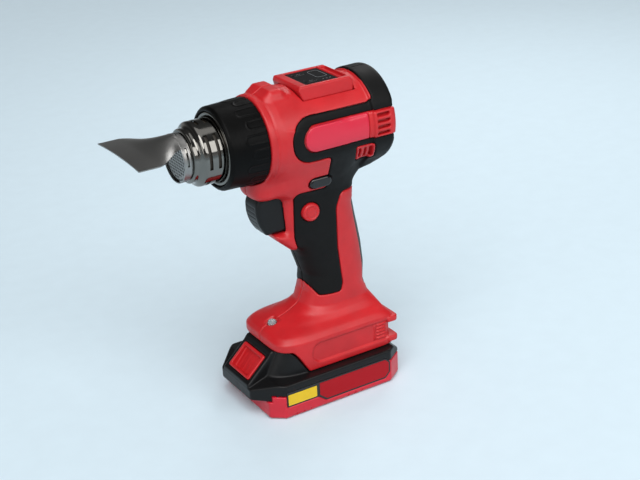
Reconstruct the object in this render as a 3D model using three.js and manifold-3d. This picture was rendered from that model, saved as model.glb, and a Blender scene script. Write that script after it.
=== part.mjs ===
// Cordless heat gun with a flared surface nozzle and a slide-on battery pack.
// Millimetres, +Z up. The nozzle points along -X, the tool's left side faces -Y,
// and the origin is the centre of the battery's flat underside.
import * as THREE from 'three';
import { mergeVertices } from 'three/addons/utils/BufferGeometryUtils.js';
import Module from 'manifold-3d';

const wasm = await Module();
wasm.setup();

// Driving dimensions
const GAP = 0.3; // between neighbouring pieces
const WALL = 2.6; // moulded casing
const SKIN = 1.6; // soft overmould
const FAR = 90; // reach of a cutter that runs right through
const BARREL = { z: 187, front: -34.3, rear: 57.4, r: 30.4, bore: 27.4, lip: 24.6, tail: 25.6 };
const GUARD = { front: -62.5, rear: -34.7, r: 28.3 };
const TUBE = { front: -77, rear: -30.9, r: 20.9, noseR: 14.6, noseFront: -87.2, wall: 0.8 };
const SLOTS = { rows: [-66.4, -72.4], perRow: 4, first: 73.5, sweep: 62, width: 2.2 };
const BLADE = { root: -87, flat: -112, tip: -124.5, z: 198.1, halfWidth: 30.5, rootAngle: 52, sheet: 0.7 };
const DISPLAY = { x0: -6, x1: 34.4, halfWidth: 18.2, top: 219.8, sill: 209.3 };
const WINDOW = { x0: 1.3, x1: 25.6, halfWidth: 14, top: 219.3, thick: 1.1 };
const KEY = { x: 8.5, y: 8, length: 8, width: 4, corner: 1.2, top: 219.5, bottom: 217.2 };
const TRIGGER = { top: 147.9, bottom: 121.5, halfWidth: 8.9, rear: -4 };
const LOCK = { x: -2.5, z: 134.5, r: 6.3, face: -19.4, inner: -11 };
const SELECTOR = { x: 3.8, z: 155.2, length: 16.4, height: 7.4, left: -22.9, right: 21.6 };
const SWITCH = { x0: 3.6, x1: 18, halfWidth: 8, z0: 122, z1: 146 };
const LIGHT = { x: -27.5, r: 3, top: 55.8, floor: 53.4, foot: 47.5, boardZ: 46, reach: 4.2, halfWidth: 5 };
const FOOT = { bottom: 25.7, archTop: 42.4, archX: -17.1, hollowFloor: 37.4, towerY: 30.2 };
const PACK = {
  halfY: 37.5, front: -50.1, frontY: 30.2, frontSide: -41.2, rear: 55.2, rearY: 29.2, rearSide: 43.5,
  split: 17, deck: 25.2, noseX: -58.5, noseY: 20, noseUnder: 13, stepX: -47.7, frameY: 17.6,
};
const RAIL = { x0: -18, x1: 38, neck: 16.8, flange: 20.4, foot: 23.8, step: 30, top: 34.4 };
const TOWER = { top: 41.9, front: -37.5, flare: 0.53, slopeFoot: 22.4 };
const CONTACT = { x0: 28, x1: 39, y: 8, thick: 0.8, z0: 29.2, z1: 33.2 };
const LABEL = { x0: -40.2, x1: 43, z0: 4.2, z1: 19.8, corner: 3, thick: 0.8 };
const TAIL_VENTS = { x0: 42.6, x1: 52.4, height: 2, levels: [182.2, 186.3, 190.4, 194.4] };
const SLANT_VENTS = { places: [31.8, 35.8, 39.8], width: 1.8, lean: 1.2, bottom: 165, top: 173.6 };
const TAIL_GRILLE = { x0: 54.6, x1: 57.2, reach: 21.5, pitch: 5.6, bar: 3, rows: 3 };
const LATCH = {
  x: -48.7, z: 31, length: 19.5, halfWidth: 13.6, top: 0.4, bottom: -4.6, floor: -7.4, slope: 43,
};
const CELL = { r: 9.1, length: 65, pitch: 18.25, z: 11.9, count: 5 };
const MOTOR = { x0: 3.5, x1: 35, r: 12, shaftR: 1.5 };
const FAN = { x0: -8, x1: 1, hubR: 8, r: 25, blades: 7, pitch: 35 };
const SCREW = { shankR: 1.5, headR: 2.9, headHeight: 2.2, bossR: 3.4, wellR: 4.8, tipY: -8 };
// Casing screws: place in side view, how far out the head sits, and how far out its well starts
const CASING_SCREWS = [
  { x: -35, z: 153.8, headY: 9.5 },
  { x: 26, z: 152.8, headY: 12 },
  { x: 22.5, z: 118, headY: 12 },
  { x: 24, z: 78, headY: 12 },
  { x: -13, z: 44.6, headY: 20.5, well: 29.4 },
  { x: 41, z: 44.6, headY: 20.5, well: 29.4 },
];
// Grip and foot: horizontal sections from the foot's underside up into the barrel.
// n is the squareness of a section, and rear the squareness of its rear half where that differs.
const GRIP = [
  { z: FOOT.bottom, x0: -38, x1: 53, y: 30.5, n: 3.5, rear: 12 },
  { z: 47.8, x0: -38, x1: 53, y: 30.5, n: 3.5, rear: 12 },
  { z: 51.5, x0: -35.3, x1: 47.5, y: 27.5, n: 3.5, rear: 8 },
  { z: 55, x0: -27.5, x1: 45.5, y: 24.6, n: 3.4, rear: 5 },
  { z: 59, x0: -18, x1: 43.6, y: 22.6, n: 3.2, rear: 4 },
  { z: 64, x0: -9.5, x1: 42, y: 20.6, n: 3, rear: 3.2 },
  { z: 72, x0: -2.6, x1: 41.8, y: 18.4, n: 2.8 },
  { z: 84, x0: -1.6, x1: 43.6, y: 17.4, n: 2.6 },
  { z: 100, x0: -7, x1: 42, y: 17.4, n: 2.6 },
  { z: 112, x0: -13, x1: 39.8, y: 17.6, n: 2.7 },
  { z: 120, x0: -19.5, x1: 38, y: 17.8, n: 2.9 },
  { z: 146, x0: -21, x1: 33.6, y: 18.1, n: 3 },
  { z: 154, x0: -28, x1: 37, y: 20.4, n: 3.2 },
  { z: 164, x0: -31, x1: 39, y: 24.2, n: 3.6 },
  { z: 176, x0: -31, x1: 36, y: 28.2, n: 4 },
  { z: 189, x0: -29, x1: 28, y: 29.8, n: 4 },
];
// The flare from foot to grip lies between these heights, and its inner skin is set down by its inset
const FLARE = { from: 47, to: 70 };

const PAINT = {
  casingRed: new THREE.MeshStandardMaterial({ color: 0xc8232b, roughness: 0.45, metalness: 0 }),
  softBlack: new THREE.MeshStandardMaterial({ color: 0x1f2222, roughness: 0.7, metalness: 0 }),
  hardBlack: new THREE.MeshStandardMaterial({ color: 0x191b1c, roughness: 0.5, metalness: 0 }),
  padGrey: new THREE.MeshStandardMaterial({ color: 0x3a3d3d, roughness: 0.85, metalness: 0 }),
  glossBlack: new THREE.MeshStandardMaterial({ color: 0x0a0b0c, roughness: 0.12, metalness: 0 }),
  badgeRed: new THREE.MeshStandardMaterial({ color: 0xd2264a, roughness: 0.3, metalness: 0 }),
  polishedSteel: new THREE.MeshStandardMaterial({ color: 0xc9c9c6, roughness: 0.15, metalness: 1 }),
  satinSteel: new THREE.MeshStandardMaterial({ color: 0x9a9b9b, roughness: 0.32, metalness: 1 }),
  mica: new THREE.MeshStandardMaterial({ color: 0xbfae86, roughness: 0.6, metalness: 0 }),
  ceramic: new THREE.MeshStandardMaterial({ color: 0xe6e2d8, roughness: 0.7, metalness: 0 }),
  heaterWire: new THREE.MeshStandardMaterial({ color: 0x8c8078, roughness: 0.4, metalness: 1 }),
  zincScrew: new THREE.MeshStandardMaterial({ color: 0x55575a, roughness: 0.35, metalness: 1 }),
  nylonWhite: new THREE.MeshStandardMaterial({ color: 0xd8d8d2, roughness: 0.55, metalness: 0 }),
  boardGreen: new THREE.MeshStandardMaterial({ color: 0x1d5a38, roughness: 0.5, metalness: 0 }),
  clearLens: new THREE.MeshStandardMaterial({ color: 0xd9e4e8, roughness: 0.08, metalness: 0 }),
  cellSleeve: new THREE.MeshStandardMaterial({ color: 0x2a8f95, roughness: 0.4, metalness: 0 }),
  labelRed: new THREE.MeshStandardMaterial({ color: 0xa01424, roughness: 0.35, metalness: 0 }),
  brass: new THREE.MeshStandardMaterial({ color: 0xb08d4a, roughness: 0.3, metalness: 1 }),
};

const heatGun = new THREE.Group();

// Solids: three.js geometry in, joined and cut by manifold-3d, three.js geometry out

function solid(geometry) {
  const bare = (geometry.index ? geometry.toNonIndexed() : geometry).clone();
  bare.deleteAttribute('normal');
  bare.deleteAttribute('uv');
  const welded = mergeVertices(bare, 1e-4);
  const vertProperties = Float32Array.from(welded.attributes.position.array);
  const triVerts = Uint32Array.from(welded.index.array);
  const body = new wasm.Manifold(new wasm.Mesh({ numProp: 3, vertProperties, triVerts }));
  if (body.volume() > 0) {
    return body;
  }
  return new wasm.Manifold(new wasm.Mesh({ numProp: 3, vertProperties, triVerts: triVerts.reverse() }));
}

function toGeometry(body) {
  const mesh = body.getMesh();
  const geometry = new THREE.BufferGeometry();
  geometry.setAttribute('position', new THREE.BufferAttribute(mesh.vertProperties, 3));
  geometry.setIndex(new THREE.BufferAttribute(mesh.triVerts, 1));
  geometry.computeVertexNormals();
  return geometry;
}

function join(...bodies) {
  return bodies.reduce((whole, next) => whole.add(next));
}

function cut(body, ...tools) {
  return tools.reduce((whole, tool) => whole.subtract(tool), body);
}

function addNode(name, body, material) {
  const geometry = body.isBufferGeometry ? body : toGeometry(body);
  const mesh = new THREE.Mesh(geometry, material);
  mesh.name = name;
  heatGun.add(mesh);
  return mesh;
}

// Basic shapes

function outline(points) {
  return new THREE.Shape(points.map(([a, b]) => new THREE.Vector2(a, b)));
}

function roundedBox(a0, b0, a1, b1, r) {
  const shape = new THREE.Shape();
  shape.moveTo(a0 + r, b0);
  shape.lineTo(a1 - r, b0);
  shape.absarc(a1 - r, b0 + r, r, -Math.PI / 2, 0);
  shape.absarc(a1 - r, b1 - r, r, 0, Math.PI / 2);
  shape.absarc(a0 + r, b1 - r, r, Math.PI / 2, Math.PI);
  shape.absarc(a0 + r, b0 + r, r, Math.PI, Math.PI * 1.5);
  return shape;
}

function extrude(shape, depth, curveSegments = 6) {
  return new THREE.ExtrudeGeometry(shape, { depth, bevelEnabled: false, curveSegments });
}

// A side-view outline (x, z), extruded from y0 to y1
function slabY(shape, y0, y1, curveSegments) {
  const geometry = extrude(shape, y1 - y0, curveSegments);
  geometry.rotateX(Math.PI / 2);
  geometry.translate(0, y1, 0);
  return solid(geometry);
}

// A plan outline (x, y), extruded from z0 to z1
function slabZ(shape, z0, z1, curveSegments) {
  const geometry = extrude(shape, z1 - z0, curveSegments);
  geometry.translate(0, 0, z0);
  return solid(geometry);
}

// A front-view outline (y, z - barrel axis), extruded from x0 to x1
function slabX(shape, x0, x1, curveSegments) {
  const geometry = extrude(shape, x1 - x0, curveSegments);
  const turn = new THREE.Matrix4().makeBasis(
    new THREE.Vector3(0, 1, 0), new THREE.Vector3(0, 0, 1), new THREE.Vector3(1, 0, 0));
  geometry.applyMatrix4(turn);
  geometry.translate(x0, 0, BARREL.z);
  return solid(geometry);
}

function box(x0, x1, y0, y1, z0, z1) {
  const geometry = new THREE.BoxGeometry(x1 - x0, y1 - y0, z1 - z0);
  geometry.translate((x0 + x1) / 2, (y0 + y1) / 2, (z0 + z1) / 2);
  return solid(geometry);
}

// A cylinder along Y at (x, z)
function rodY(x, z, r, y0, y1, sides = 16) {
  const geometry = new THREE.CylinderGeometry(r, r, y1 - y0, sides);
  geometry.translate(x, (y0 + y1) / 2, z);
  return solid(geometry);
}

// A profile of [x, radius] pairs, turned about the barrel axis
function turned(profile, sides = 28) {
  const points = profile.map(([x, r]) => new THREE.Vector2(r, -x));
  const geometry = new THREE.LatheGeometry(points, sides);
  geometry.rotateZ(Math.PI / 2);
  geometry.translate(0, 0, BARREL.z);
  return solid(geometry);
}

function ring(x0, x1, inner, outer, sides) {
  return turned([[x0, inner], [x1, inner], [x1, outer], [x0, outer], [x0, inner]], sides);
}

// A closed skin through horizontal sections, each a superellipse of its own squareness
function loft(sections, around) {
  const rows = sections.length - 1;
  const geometry = new THREE.CylinderGeometry(1, 1, 1, around, rows);
  geometry.rotateX(Math.PI / 2);
  const place = geometry.attributes.position;
  const squarer = (value, n) => {
    const size = Math.abs(value);
    return size < 1e-9 ? 0 : Math.sign(value) * size ** (2 / n);
  };
  for (let i = 0; i < place.count; i += 1) {
    const section = sections[Math.round((place.getZ(i) + 0.5) * rows)];
    const middle = (section.x0 + section.x1) / 2;
    const reach = (section.x1 - section.x0) / 2;
    const n = place.getX(i) > 0 ? section.rear ?? section.n : section.n;
    const x = middle + reach * squarer(place.getX(i), n);
    place.setXYZ(i, x, section.y * squarer(place.getY(i), n), section.z);
  }
  return solid(geometry);
}

// A coil spring or heater wire along +Z, from 0 to length
class Helix extends THREE.Curve {
  constructor(r, length, turns) {
    super();
    Object.assign(this, { r, length, turns });
  }

  getPoint(t, target = new THREE.Vector3()) {
    const angle = t * this.turns * 2 * Math.PI;
    return target.set(this.r * Math.cos(angle), this.r * Math.sin(angle), t * this.length);
  }
}

function coil(r, wireR, length, turns, stepsPerTurn, sides) {
  const wire = new THREE.Shape().absarc(0, 0, wireR, 0, 2 * Math.PI);
  const steps = turns * stepsPerTurn;
  const extrudePath = new Helix(r, length, turns);
  return new THREE.ExtrudeGeometry(wire, { steps, extrudePath, curveSegments: Math.ceil(sides / 2) });
}

// Casing

function gripSections(inset, floor) {
  const above = GRIP.filter((section) => section.z > floor);
  const low = { ...GRIP[0], z: floor };
  return [low, ...above].map((section) => ({
    ...section,
    z: section.z > FLARE.from && section.z < FLARE.to ? section.z - inset : section.z,
    x0: section.x0 + inset,
    x1: section.x1 - inset,
    y: section.y - inset,
  }));
}

function barrelBody(inset) {
  const r = BARREL.r - inset;
  return turned([
    [BARREL.front, 0], [BARREL.front, r - 2.2], [-33.4, r - 1.4], [-30, r - 1.4], [-29.4, r - 1.8],
    [-28.8, r - 0.2], [-25.6, r + 1.9], [-22, r + 2.6], [-17.6, r + 2.6], [-14, r + 1.7], [-9.4, r],
    [39.8, r], [41.4, r + 1.5], [52, r + 1.5], [55.5, r], [BARREL.rear, r - 2.4], [BARREL.rear, 0],
  ], 28);
}

function chinBody(inset) {
  const chin = outline([
    [-43.8 + inset, 150.6], [-43.8 + inset, 166], [-16, 166],
    [-16, 147.6 + inset], [-41 + inset, 147.6 + inset],
  ]);
  const lip = outline([
    [-26 + inset, 120.6 - inset], [-25 + inset, 117.6], [-14 + inset, 108], [0, 108], [0, 120.6 - inset],
  ]);
  const plan = outline([
    [-43.8 + inset, -6], [-41 + inset, -11.4], [-35.4 + inset, -15 + inset], [0, -15 + inset],
    [0, 15 - inset], [-35.4 + inset, 15 - inset], [-41 + inset, 11.4], [-43.8 + inset, 6],
  ]);
  const rounded = slabY(chin, -15, 15).intersect(slabZ(plan, 140, 170));
  return join(rounded, slabY(lip, -13 + inset, 13 - inset));
}

function webBody(inset) {
  const web = outline([
    [31 - inset, 138], [34 - inset, 148.6], [40 - inset, 152.4], [48 - inset, 154.6 + inset],
    [52.6 - inset, 158 + inset], [52.6 - inset, 164], [10, 164], [10, 138],
  ]);
  return slabY(web, -14 + inset, 14 - inset);
}

function archCutter(grow) {
  return slabY(outline([
    [-FAR, 10], [FOOT.archX + grow, 10], [FOOT.archX + grow, FOOT.bottom], [-24.1 + grow, 37.8 + grow],
    [-27.5 + grow, 41.8 + grow], [-30.5, FOOT.archTop + grow], [-FAR, FOOT.archTop + grow],
  ]), -FAR, FAR);
}

function outerBody(inset) {
  const whole = join(
    loft(gripSections(inset, FOOT.bottom), 24),
    barrelBody(inset), chinBody(inset), webBody(inset));
  return cut(whole, archCutter(inset));
}

function hollow() {
  const bore = turned([
    [-FAR, 0], [-FAR, BARREL.lip], [-32.2, BARREL.lip], [-32.2, BARREL.bore], [51.5, BARREL.bore],
    [51.5, BARREL.tail], [FAR, BARREL.tail], [FAR, 0],
  ]);
  const grip = cut(loft(gripSections(WALL, FOOT.hollowFloor), 12), archCutter(WALL));
  return join(bore, grip);
}

function footCutters() {
  const neck = RAIL.neck + 0.4;
  const flange = RAIL.flange + 0.5;
  const top = RAIL.top + 0.5;
  return [
    box(-FAR, RAIL.x1 + 0.5, -neck, neck, 20, RAIL.step - 0.2),
    box(-FAR, RAIL.x1 + 0.5, -flange, flange, RAIL.step - 0.5, top),
    box(RAIL.x1 + 0.4, 44.9, -13.4, 13.4, 20, top),
    box(LIGHT.x - LIGHT.reach, LIGHT.x + LIGHT.reach, -LIGHT.halfWidth, LIGHT.halfWidth, LIGHT.floor, 70),
    lightRod(LIGHT.r + GAP, 43, 70),
  ];
}

function lightRod(r, z0, z1) {
  const geometry = new THREE.CylinderGeometry(r, r, z1 - z0, 16);
  geometry.rotateX(Math.PI / 2);
  geometry.translate(LIGHT.x, 0, (z0 + z1) / 2);
  return solid(geometry);
}

function capsule(x, z, length, height) {
  return roundedBox(x - length / 2, z - height / 2, x + length / 2, z + height / 2, height / 2 - 0.01);
}

function controlCutters() {
  const slot = capsule(SELECTOR.x, SELECTOR.z, SELECTOR.length + 2 * GAP, SELECTOR.height + 2 * GAP);
  return [
    box(-FAR, -12, -TRIGGER.halfWidth - 0.4, TRIGGER.halfWidth + 0.4, 121, 148.4),
    box(-14, 3, -TRIGGER.halfWidth - 0.4, TRIGGER.halfWidth + 0.4, 121, 148.4),
    rodY(LOCK.x, LOCK.z, LOCK.r + GAP, -FAR, -5, 24),
    slabY(slot, -FAR, FAR, 3),
    box(WINDOW.x0 - 0.6, WINDOW.x1 + 0.6, -14.4, 14.4, 205, FAR + 200),
  ];
}

// Side vents: four slots behind the badge, and three slanted ones below it
function ventCutters() {
  const tools = [];
  const { x0, x1, height, levels } = TAIL_VENTS;
  for (const z of levels) {
    tools.push(box(x0, x1, -FAR, FAR, z - height / 2, z + height / 2));
  }
  const { places, width, lean, bottom, top } = SLANT_VENTS;
  for (const x of places) {
    const slot = outline([[x, bottom], [x + width, bottom], [x + width - lean, top], [x - lean, top]]);
    tools.push(slabY(slot, -FAR, -8), slabY(slot, 8, FAR));
  }
  return tools;
}

// Black soft cover: round the badge, over the barrel's rear end, and down the grip
function softRegion(grow) {
  const g = grow;
  const region = new THREE.Shape();
  region.moveTo(40 - g, 230);
  region.lineTo(41.4 - g, 213);
  region.lineTo(42.4 - g, 206.6);
  region.lineTo(38.6, 202.8 + g);
  region.lineTo(-4.4, 203.4 + g);
  region.absarc(-4.4, 188.2, 15.2 + g, Math.PI / 2, Math.PI * 1.5);
  region.lineTo(9.6 - g, 173 - g);
  region.lineTo(9.6 - g, 149.4 + g);
  region.lineTo(-9.6, 149.4 + g);
  region.lineTo(-13.4 - g, 145.6);
  region.lineTo(-13.4 - g, 117);
  region.lineTo(-8.4 - g, 100);
  region.lineTo(-1.6 - g, 78);
  region.lineTo(3, 71.4 - g);
  region.lineTo(17.6, 71.4 - g);
  region.lineTo(19.8 + g, 76);
  region.lineTo(17.4 + g, 104);
  region.lineTo(17.4 + g, 132);
  region.lineTo(21.3, 141.3 - g);
  region.lineTo(FAR, 141.3 - g);
  region.lineTo(FAR, 230);
  return slabY(region, -FAR, FAR, 5);
}

function badgeOutline(x1, grow) {
  const shape = new THREE.Shape();
  shape.moveTo(x1 + grow, 197.2 + grow);
  shape.lineTo(-1.8, 197.2 + grow);
  shape.absarc(-1.8, 188.4, 8.8 + grow, Math.PI / 2, Math.PI * 1.5);
  shape.lineTo(x1 + grow, 179.6 - grow);
  return shape;
}

function ventWindow(grow) {
  return outline([
    [28.8 - grow, 174.6 + grow], [31.4 - grow, 164 - grow],
    [44 + grow, 164 - grow], [41.4 + grow, 174.6 + grow],
  ]);
}

function padRegion(grow) {
  return slabY(outline([
    [30.6 - grow, 137 + grow], [31.4 - grow, 112], [34 - grow, 70], [36, 67.6 - grow],
    [FAR, 67.6 - grow], [FAR, 137 + grow],
  ]), -12.6 - grow, 12.6 + grow);
}

function screwBosses(side) {
  return CASING_SCREWS.map(({ x, z, headY, well }) => {
    const r = well ? SCREW.wellR : SCREW.bossR;
    const reach = well ?? headY + 3;
    return side < 0 ? rodY(x, z, r, -reach, -1, 8) : rodY(x, z, r, 1, reach, 8);
  });
}

function screwHoles() {
  return CASING_SCREWS.flatMap(({ x, z, headY }) => [
    rodY(x, z, SCREW.shankR + GAP, SCREW.tipY - 1, headY + 1, 6),
    rodY(x, z, SCREW.headR + GAP, headY, FAR, 8),
  ]);
}

function halfSpace(side, gap = 0.15) {
  return side < 0 ? box(-200, 200, -200, -gap, -50, 300) : box(-200, 200, gap, 200, -50, 300);
}

const outer = outerBody(0);
const underSkin = outerBody(SKIN);
const shellHollow = hollow();
const displaySeat = slabY(displayOutline(GAP), -DISPLAY.halfWidth - GAP, DISPLAY.halfWidth + GAP);
const guardRoom = ring(-FAR, BARREL.front - 0.1, 0.01, GUARD.r + GAP, 40);

function displayOutline(grow) {
  return outline([
    [DISPLAY.x0 - grow, DISPLAY.top - 2.8], [DISPLAY.x0 + 0.8 - grow, DISPLAY.top + grow],
    [DISPLAY.x1 - 2, DISPLAY.top + grow], [DISPLAY.x1 + grow, DISPLAY.top - 3],
    [DISPLAY.x1 + grow, DISPLAY.sill - grow], [DISPLAY.x0 + 2.6 - grow, DISPLAY.sill - grow],
  ]);
}

function housing(side) {
  const bare = [slabY(badgeOutline(FAR, -GAP), -FAR, FAR), slabY(ventWindow(-GAP), -FAR, FAR)];
  const covered = cut(softRegion(GAP), ...bare);
  const skinTrough = cut(join(covered, padRegion(GAP)), outerBody(SKIN + GAP));
  const badgeTrough = cut(slabY(badgeOutline(38, GAP), -FAR, FAR), outerBody(1.2));
  let body = outer.intersect(halfSpace(side));
  body = cut(body, skinTrough, badgeTrough, shellHollow);
  const bosses = join(...screwBosses(side)).intersect(underSkin).intersect(halfSpace(side));
  body = join(body, bosses);
  body = cut(body, ...footCutters(), ...controlCutters(), ...ventCutters(), ...screwHoles());
  return cut(body, displaySeat, guardRoom);
}

function overmould(side) {
  const skin = cut(outer, underSkin).intersect(halfSpace(side));
  let body = cut(skin.intersect(softRegion(0)), slabY(badgeOutline(FAR, GAP), -FAR, FAR));
  body = cut(body, slabY(ventWindow(0), -FAR, FAR), padRegion(GAP), displaySeat);
  body = cut(body, ...controlCutters(), turned([[40, 0], [40, 25.6], [FAR, 25.6], [FAR, 0]]));
  return side < 0 ? body : cut(body, ...screwHoles());
}

function largestPiece(body) {
  return body.decompose().sort((a, b) => b.volume() - a.volume())[0];
}

function badge(side) {
  const plate = slabY(badgeOutline(37.4, 0), -FAR, FAR).intersect(cut(outer, outerBody(0.8)));
  return plate.intersect(halfSpace(side, 5));
}

function displayCover() {
  const block = slabY(displayOutline(0), -DISPLAY.halfWidth, DISPLAY.halfWidth);
  const seat = turned([[-40, 0], [-40, 27.9], [FAR, 27.9], [FAR, 0]], 40);
  const opening = box(WINDOW.x0 - 0.5, WINDOW.x1 + 0.5, -14.3, 14.3, 205, 230);
  const rearRecess = box(27.4, 32.2, -14.3, 14.3, DISPLAY.top - 2.2, 230);
  return cut(block, seat, opening, rearRecess);
}

function displayWindow() {
  const { x0, x1, halfWidth, top, thick } = WINDOW;
  const plate = box(x0, x1, -halfWidth, halfWidth, top - thick, top);
  return cut(plate, keyBody(1, GAP), keyBody(-1, GAP));
}

function keyBody(side, grow) {
  const { x, length, width, corner, bottom, top } = KEY;
  const y = side * KEY.y;
  const along = length / 2 + grow;
  const across = width / 2 + grow;
  const plan = roundedBox(x - along, y - across, x + along, y + across, corner);
  return slabZ(plan, bottom - grow, top + grow, 2);
}

for (const [side, word] of [[-1, 'left'], [1, 'right']]) {
  addNode(`housing_${word}`, largestPiece(housing(side)), PAINT.casingRed);
  addNode(`overmould_${word}`, largestPiece(overmould(side)), PAINT.softBlack);
  addNode(`badge_${word}`, largestPiece(badge(side)), PAINT.badgeRed);
}
addNode('grip_pad', cut(outer, outerBody(SKIN - GAP)).intersect(padRegion(0)), PAINT.padGrey);
addNode('display_cover', displayCover(), PAINT.casingRed);
addNode('display_window', displayWindow(), PAINT.glossBlack);
addNode('key_plus', keyBody(1, 0), PAINT.glossBlack);
addNode('key_minus', keyBody(-1, 0), PAINT.glossBlack);
addNode('control_board', box(1.4, 25.4, -12, 12, 215.6, 216.5), PAINT.boardGreen);

CASING_SCREWS.forEach(({ x, z, headY }, i) => {
  const head = rodY(x, z, SCREW.headR, headY + 0.1, headY + SCREW.headHeight, 8);
  const shank = rodY(x, z, SCREW.shankR, SCREW.tipY, headY + 1, 6);
  addNode(`casing_screw_${i + 1}`, join(head, shank), PAINT.zincScrew);
});

// Air intake at the tail
function intakeGrille() {
  const { x0, x1, reach, pitch, bar, rows } = TAIL_GRILLE;
  const rim = BARREL.tail - GAP;
  let body = turned([[x0, 0], [x0, rim], [x1, rim], [x1, 0]], 28);
  for (let row = -rows; row <= rows; row += 1) {
    const half = Math.sqrt(reach ** 2 - (row * pitch) ** 2);
    const level = BARREL.z + row * pitch;
    body = cut(body, box(x0 - 1, x1 + 1, -half, half, level - bar / 2, level + bar / 2));
  }
  return body;
}
addNode('intake_grille', intakeGrille(), PAINT.hardBlack);

// Hot end

function outletTube() {
  const { front, rear, r, wall, noseR, noseFront } = TUBE;
  const inside = r - wall;
  let body = turned([
    [rear, inside], [rear, 27], [rear - 1, 27], [rear - 1, r], [front + 1, r],
    [front - 1.6, 17.4], [front - 4.4, 17.2], [front - 5.2, noseR], [noseFront, noseR],
    [noseFront, noseR - wall], [front - 4.6, noseR - wall], [front - 3.8, 16.4], [front - 1, 16.4],
    [front + 1.6, inside], [rear, inside],
  ], 24);
  for (const x of SLOTS.rows) {
    for (let i = 0; i < SLOTS.perRow; i += 1) {
      body = cut(body, slotWedge(x, 90 + SLOTS.first + i * 360 / SLOTS.perRow));
    }
  }
  return body;
}

// A thin wedge whose point is on the barrel axis, which cuts one slot round the tube
function slotWedge(x, middleDegrees) {
  const reach = 30;
  const rim = [-1, 1].map((end) => {
    const angle = THREE.MathUtils.degToRad(middleDegrees + end * SLOTS.sweep / 2);
    return [reach * Math.cos(angle), reach * Math.sin(angle)];
  });
  return slabX(outline([[0, 0], ...rim]), x - SLOTS.width / 2, x + SLOTS.width / 2);
}

function deflectorNozzle() {
  const { root, flat, tip, z, halfWidth, rootAngle, sheet } = BLADE;
  const sleeveR = TUBE.noseR + GAP;
  const sleeve = ring(-88.2, -83, sleeveR, sleeveR + 0.9, 24);
  const geometry = new THREE.BoxGeometry(1, 1, 1, 7, 10, 1);
  const place = geometry.attributes.position;
  for (let i = 0; i < place.count; i += 1) {
    const x = THREE.MathUtils.lerp(root, tip, place.getX(i) + 0.5);
    const blend = THREE.MathUtils.smoothstep(root - x, 0, root - flat);
    const across = -place.getY(i) * 2;
    const under = 0.5 - place.getZ(i);
    const r = sleeveR + 0.8 - under * sheet;
    const angle = THREE.MathUtils.degToRad(rootAngle) * across;
    const y = THREE.MathUtils.lerp(r * Math.sin(angle), halfWidth * across, blend);
    const level = THREE.MathUtils.lerp(BARREL.z + r * Math.cos(angle), z - under * sheet, blend);
    place.setXYZ(i, x, y, level);
  }
  return join(sleeve, solid(geometry));
}

function outletScreen() {
  const disc = new THREE.Shape().absarc(0, 0, TUBE.noseR - TUBE.wall - GAP, 0, 2 * Math.PI);
  for (let row = -2; row <= 2; row += 1) {
    for (let column = -2; column <= 2; column += 1) {
      const y = (column + (row % 2 ? 0.5 : 0)) * 5;
      const z = row * 4.4;
      if (Math.hypot(y, z) < 11) {
        disc.holes.push(new THREE.Path(hexagon(y, z, 1.5)));
      }
    }
  }
  return slabX(disc, -86.8, -86.2, 8);
}

function hexagon(a, b, r) {
  return [0, 1, 2, 3, 4, 5].map((i) => new THREE.Vector2(
    a + r * Math.cos(i * Math.PI / 3), b + r * Math.sin(i * Math.PI / 3)));
}

function heaterBase() {
  let body = turned([[-33.8, 0], [-33.8, 19.7], [-31.6, 19.7], [-31.6, 0]], 24);
  for (const y of [-7.5, 7.5]) {
    for (const z of [-7.5, 7.5]) {
      body = cut(body, box(-40, -25, y - 4.5, y + 4.5, BARREL.z + z - 4.5, BARREL.z + z + 4.5));
    }
  }
  return body;
}

function heaterFormer() {
  const arm = 15.4;
  const half = 0.6;
  const cross = outline([
    [-arm, -half], [-half, -half], [-half, -arm], [half, -arm], [half, -half], [arm, -half],
    [arm, half], [half, half], [half, arm], [-half, arm], [-half, half], [-arm, half],
  ]);
  return slabX(cross, -70, -34.2);
}

function heaterCoil() {
  const geometry = coil(17, 0.6, 30, 5, 12, 4);
  geometry.rotateY(Math.PI / 2);
  geometry.translate(-68, 0, BARREL.z);
  return solid(geometry);
}

addNode('heat_guard', turned([
  [-32.5, 22.4], [-32.5, 24.3], [GUARD.rear, 24.3], [GUARD.rear, GUARD.r], [-61.2, 27.6], [-62.2, 26.8],
  [GUARD.front, 25.6], [GUARD.front, 24.3], [-52, 24.3], [-52, 22.4], [-32.5, 22.4],
], 28), PAINT.hardBlack);
addNode('outlet_flange', turned([
  [-61.6, 22.4], [-61.2, 23.6], [-60.4, 24], [-56, 24], [-56, 21.3], [-60.8, 21.3], [-61.6, 22.4],
], 24), PAINT.polishedSteel);
addNode('outlet_tube', outletTube(), PAINT.polishedSteel);
addNode('outlet_screen', outletScreen(), PAINT.satinSteel);
addNode('deflector_nozzle', deflectorNozzle(), PAINT.satinSteel);
addNode('mica_sleeve', ring(-73, -34.4, 18.5, 19.5, 28), PAINT.mica);
addNode('heater_base', heaterBase(), PAINT.ceramic);
addNode('heater_former', heaterFormer(), PAINT.mica);
addNode('heater_coil', heaterCoil(), PAINT.heaterWire);
addNode('thermal_cutout', box(-31, -22, 6, 11, 193, 198), PAINT.ceramic);

// Fan

function motorMount() {
  let body = ring(8, 13, MOTOR.r + 0.5, BARREL.bore - GAP, 24);
  for (let i = 0; i < 4; i += 1) {
    const middle = (i + 0.5) * Math.PI / 2;
    const corner = (r, turn) => [r * Math.cos(middle + turn), r * Math.sin(middle + turn)];
    const inner = 15;
    const rim = 24.4;
    const port = [
      corner(inner, -0.6), corner(rim, -0.62), corner(rim, 0), corner(rim, 0.62), corner(inner, 0.6),
    ];
    body = cut(body, slabX(outline(port), 7, 14));
  }
  return body;
}

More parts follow.
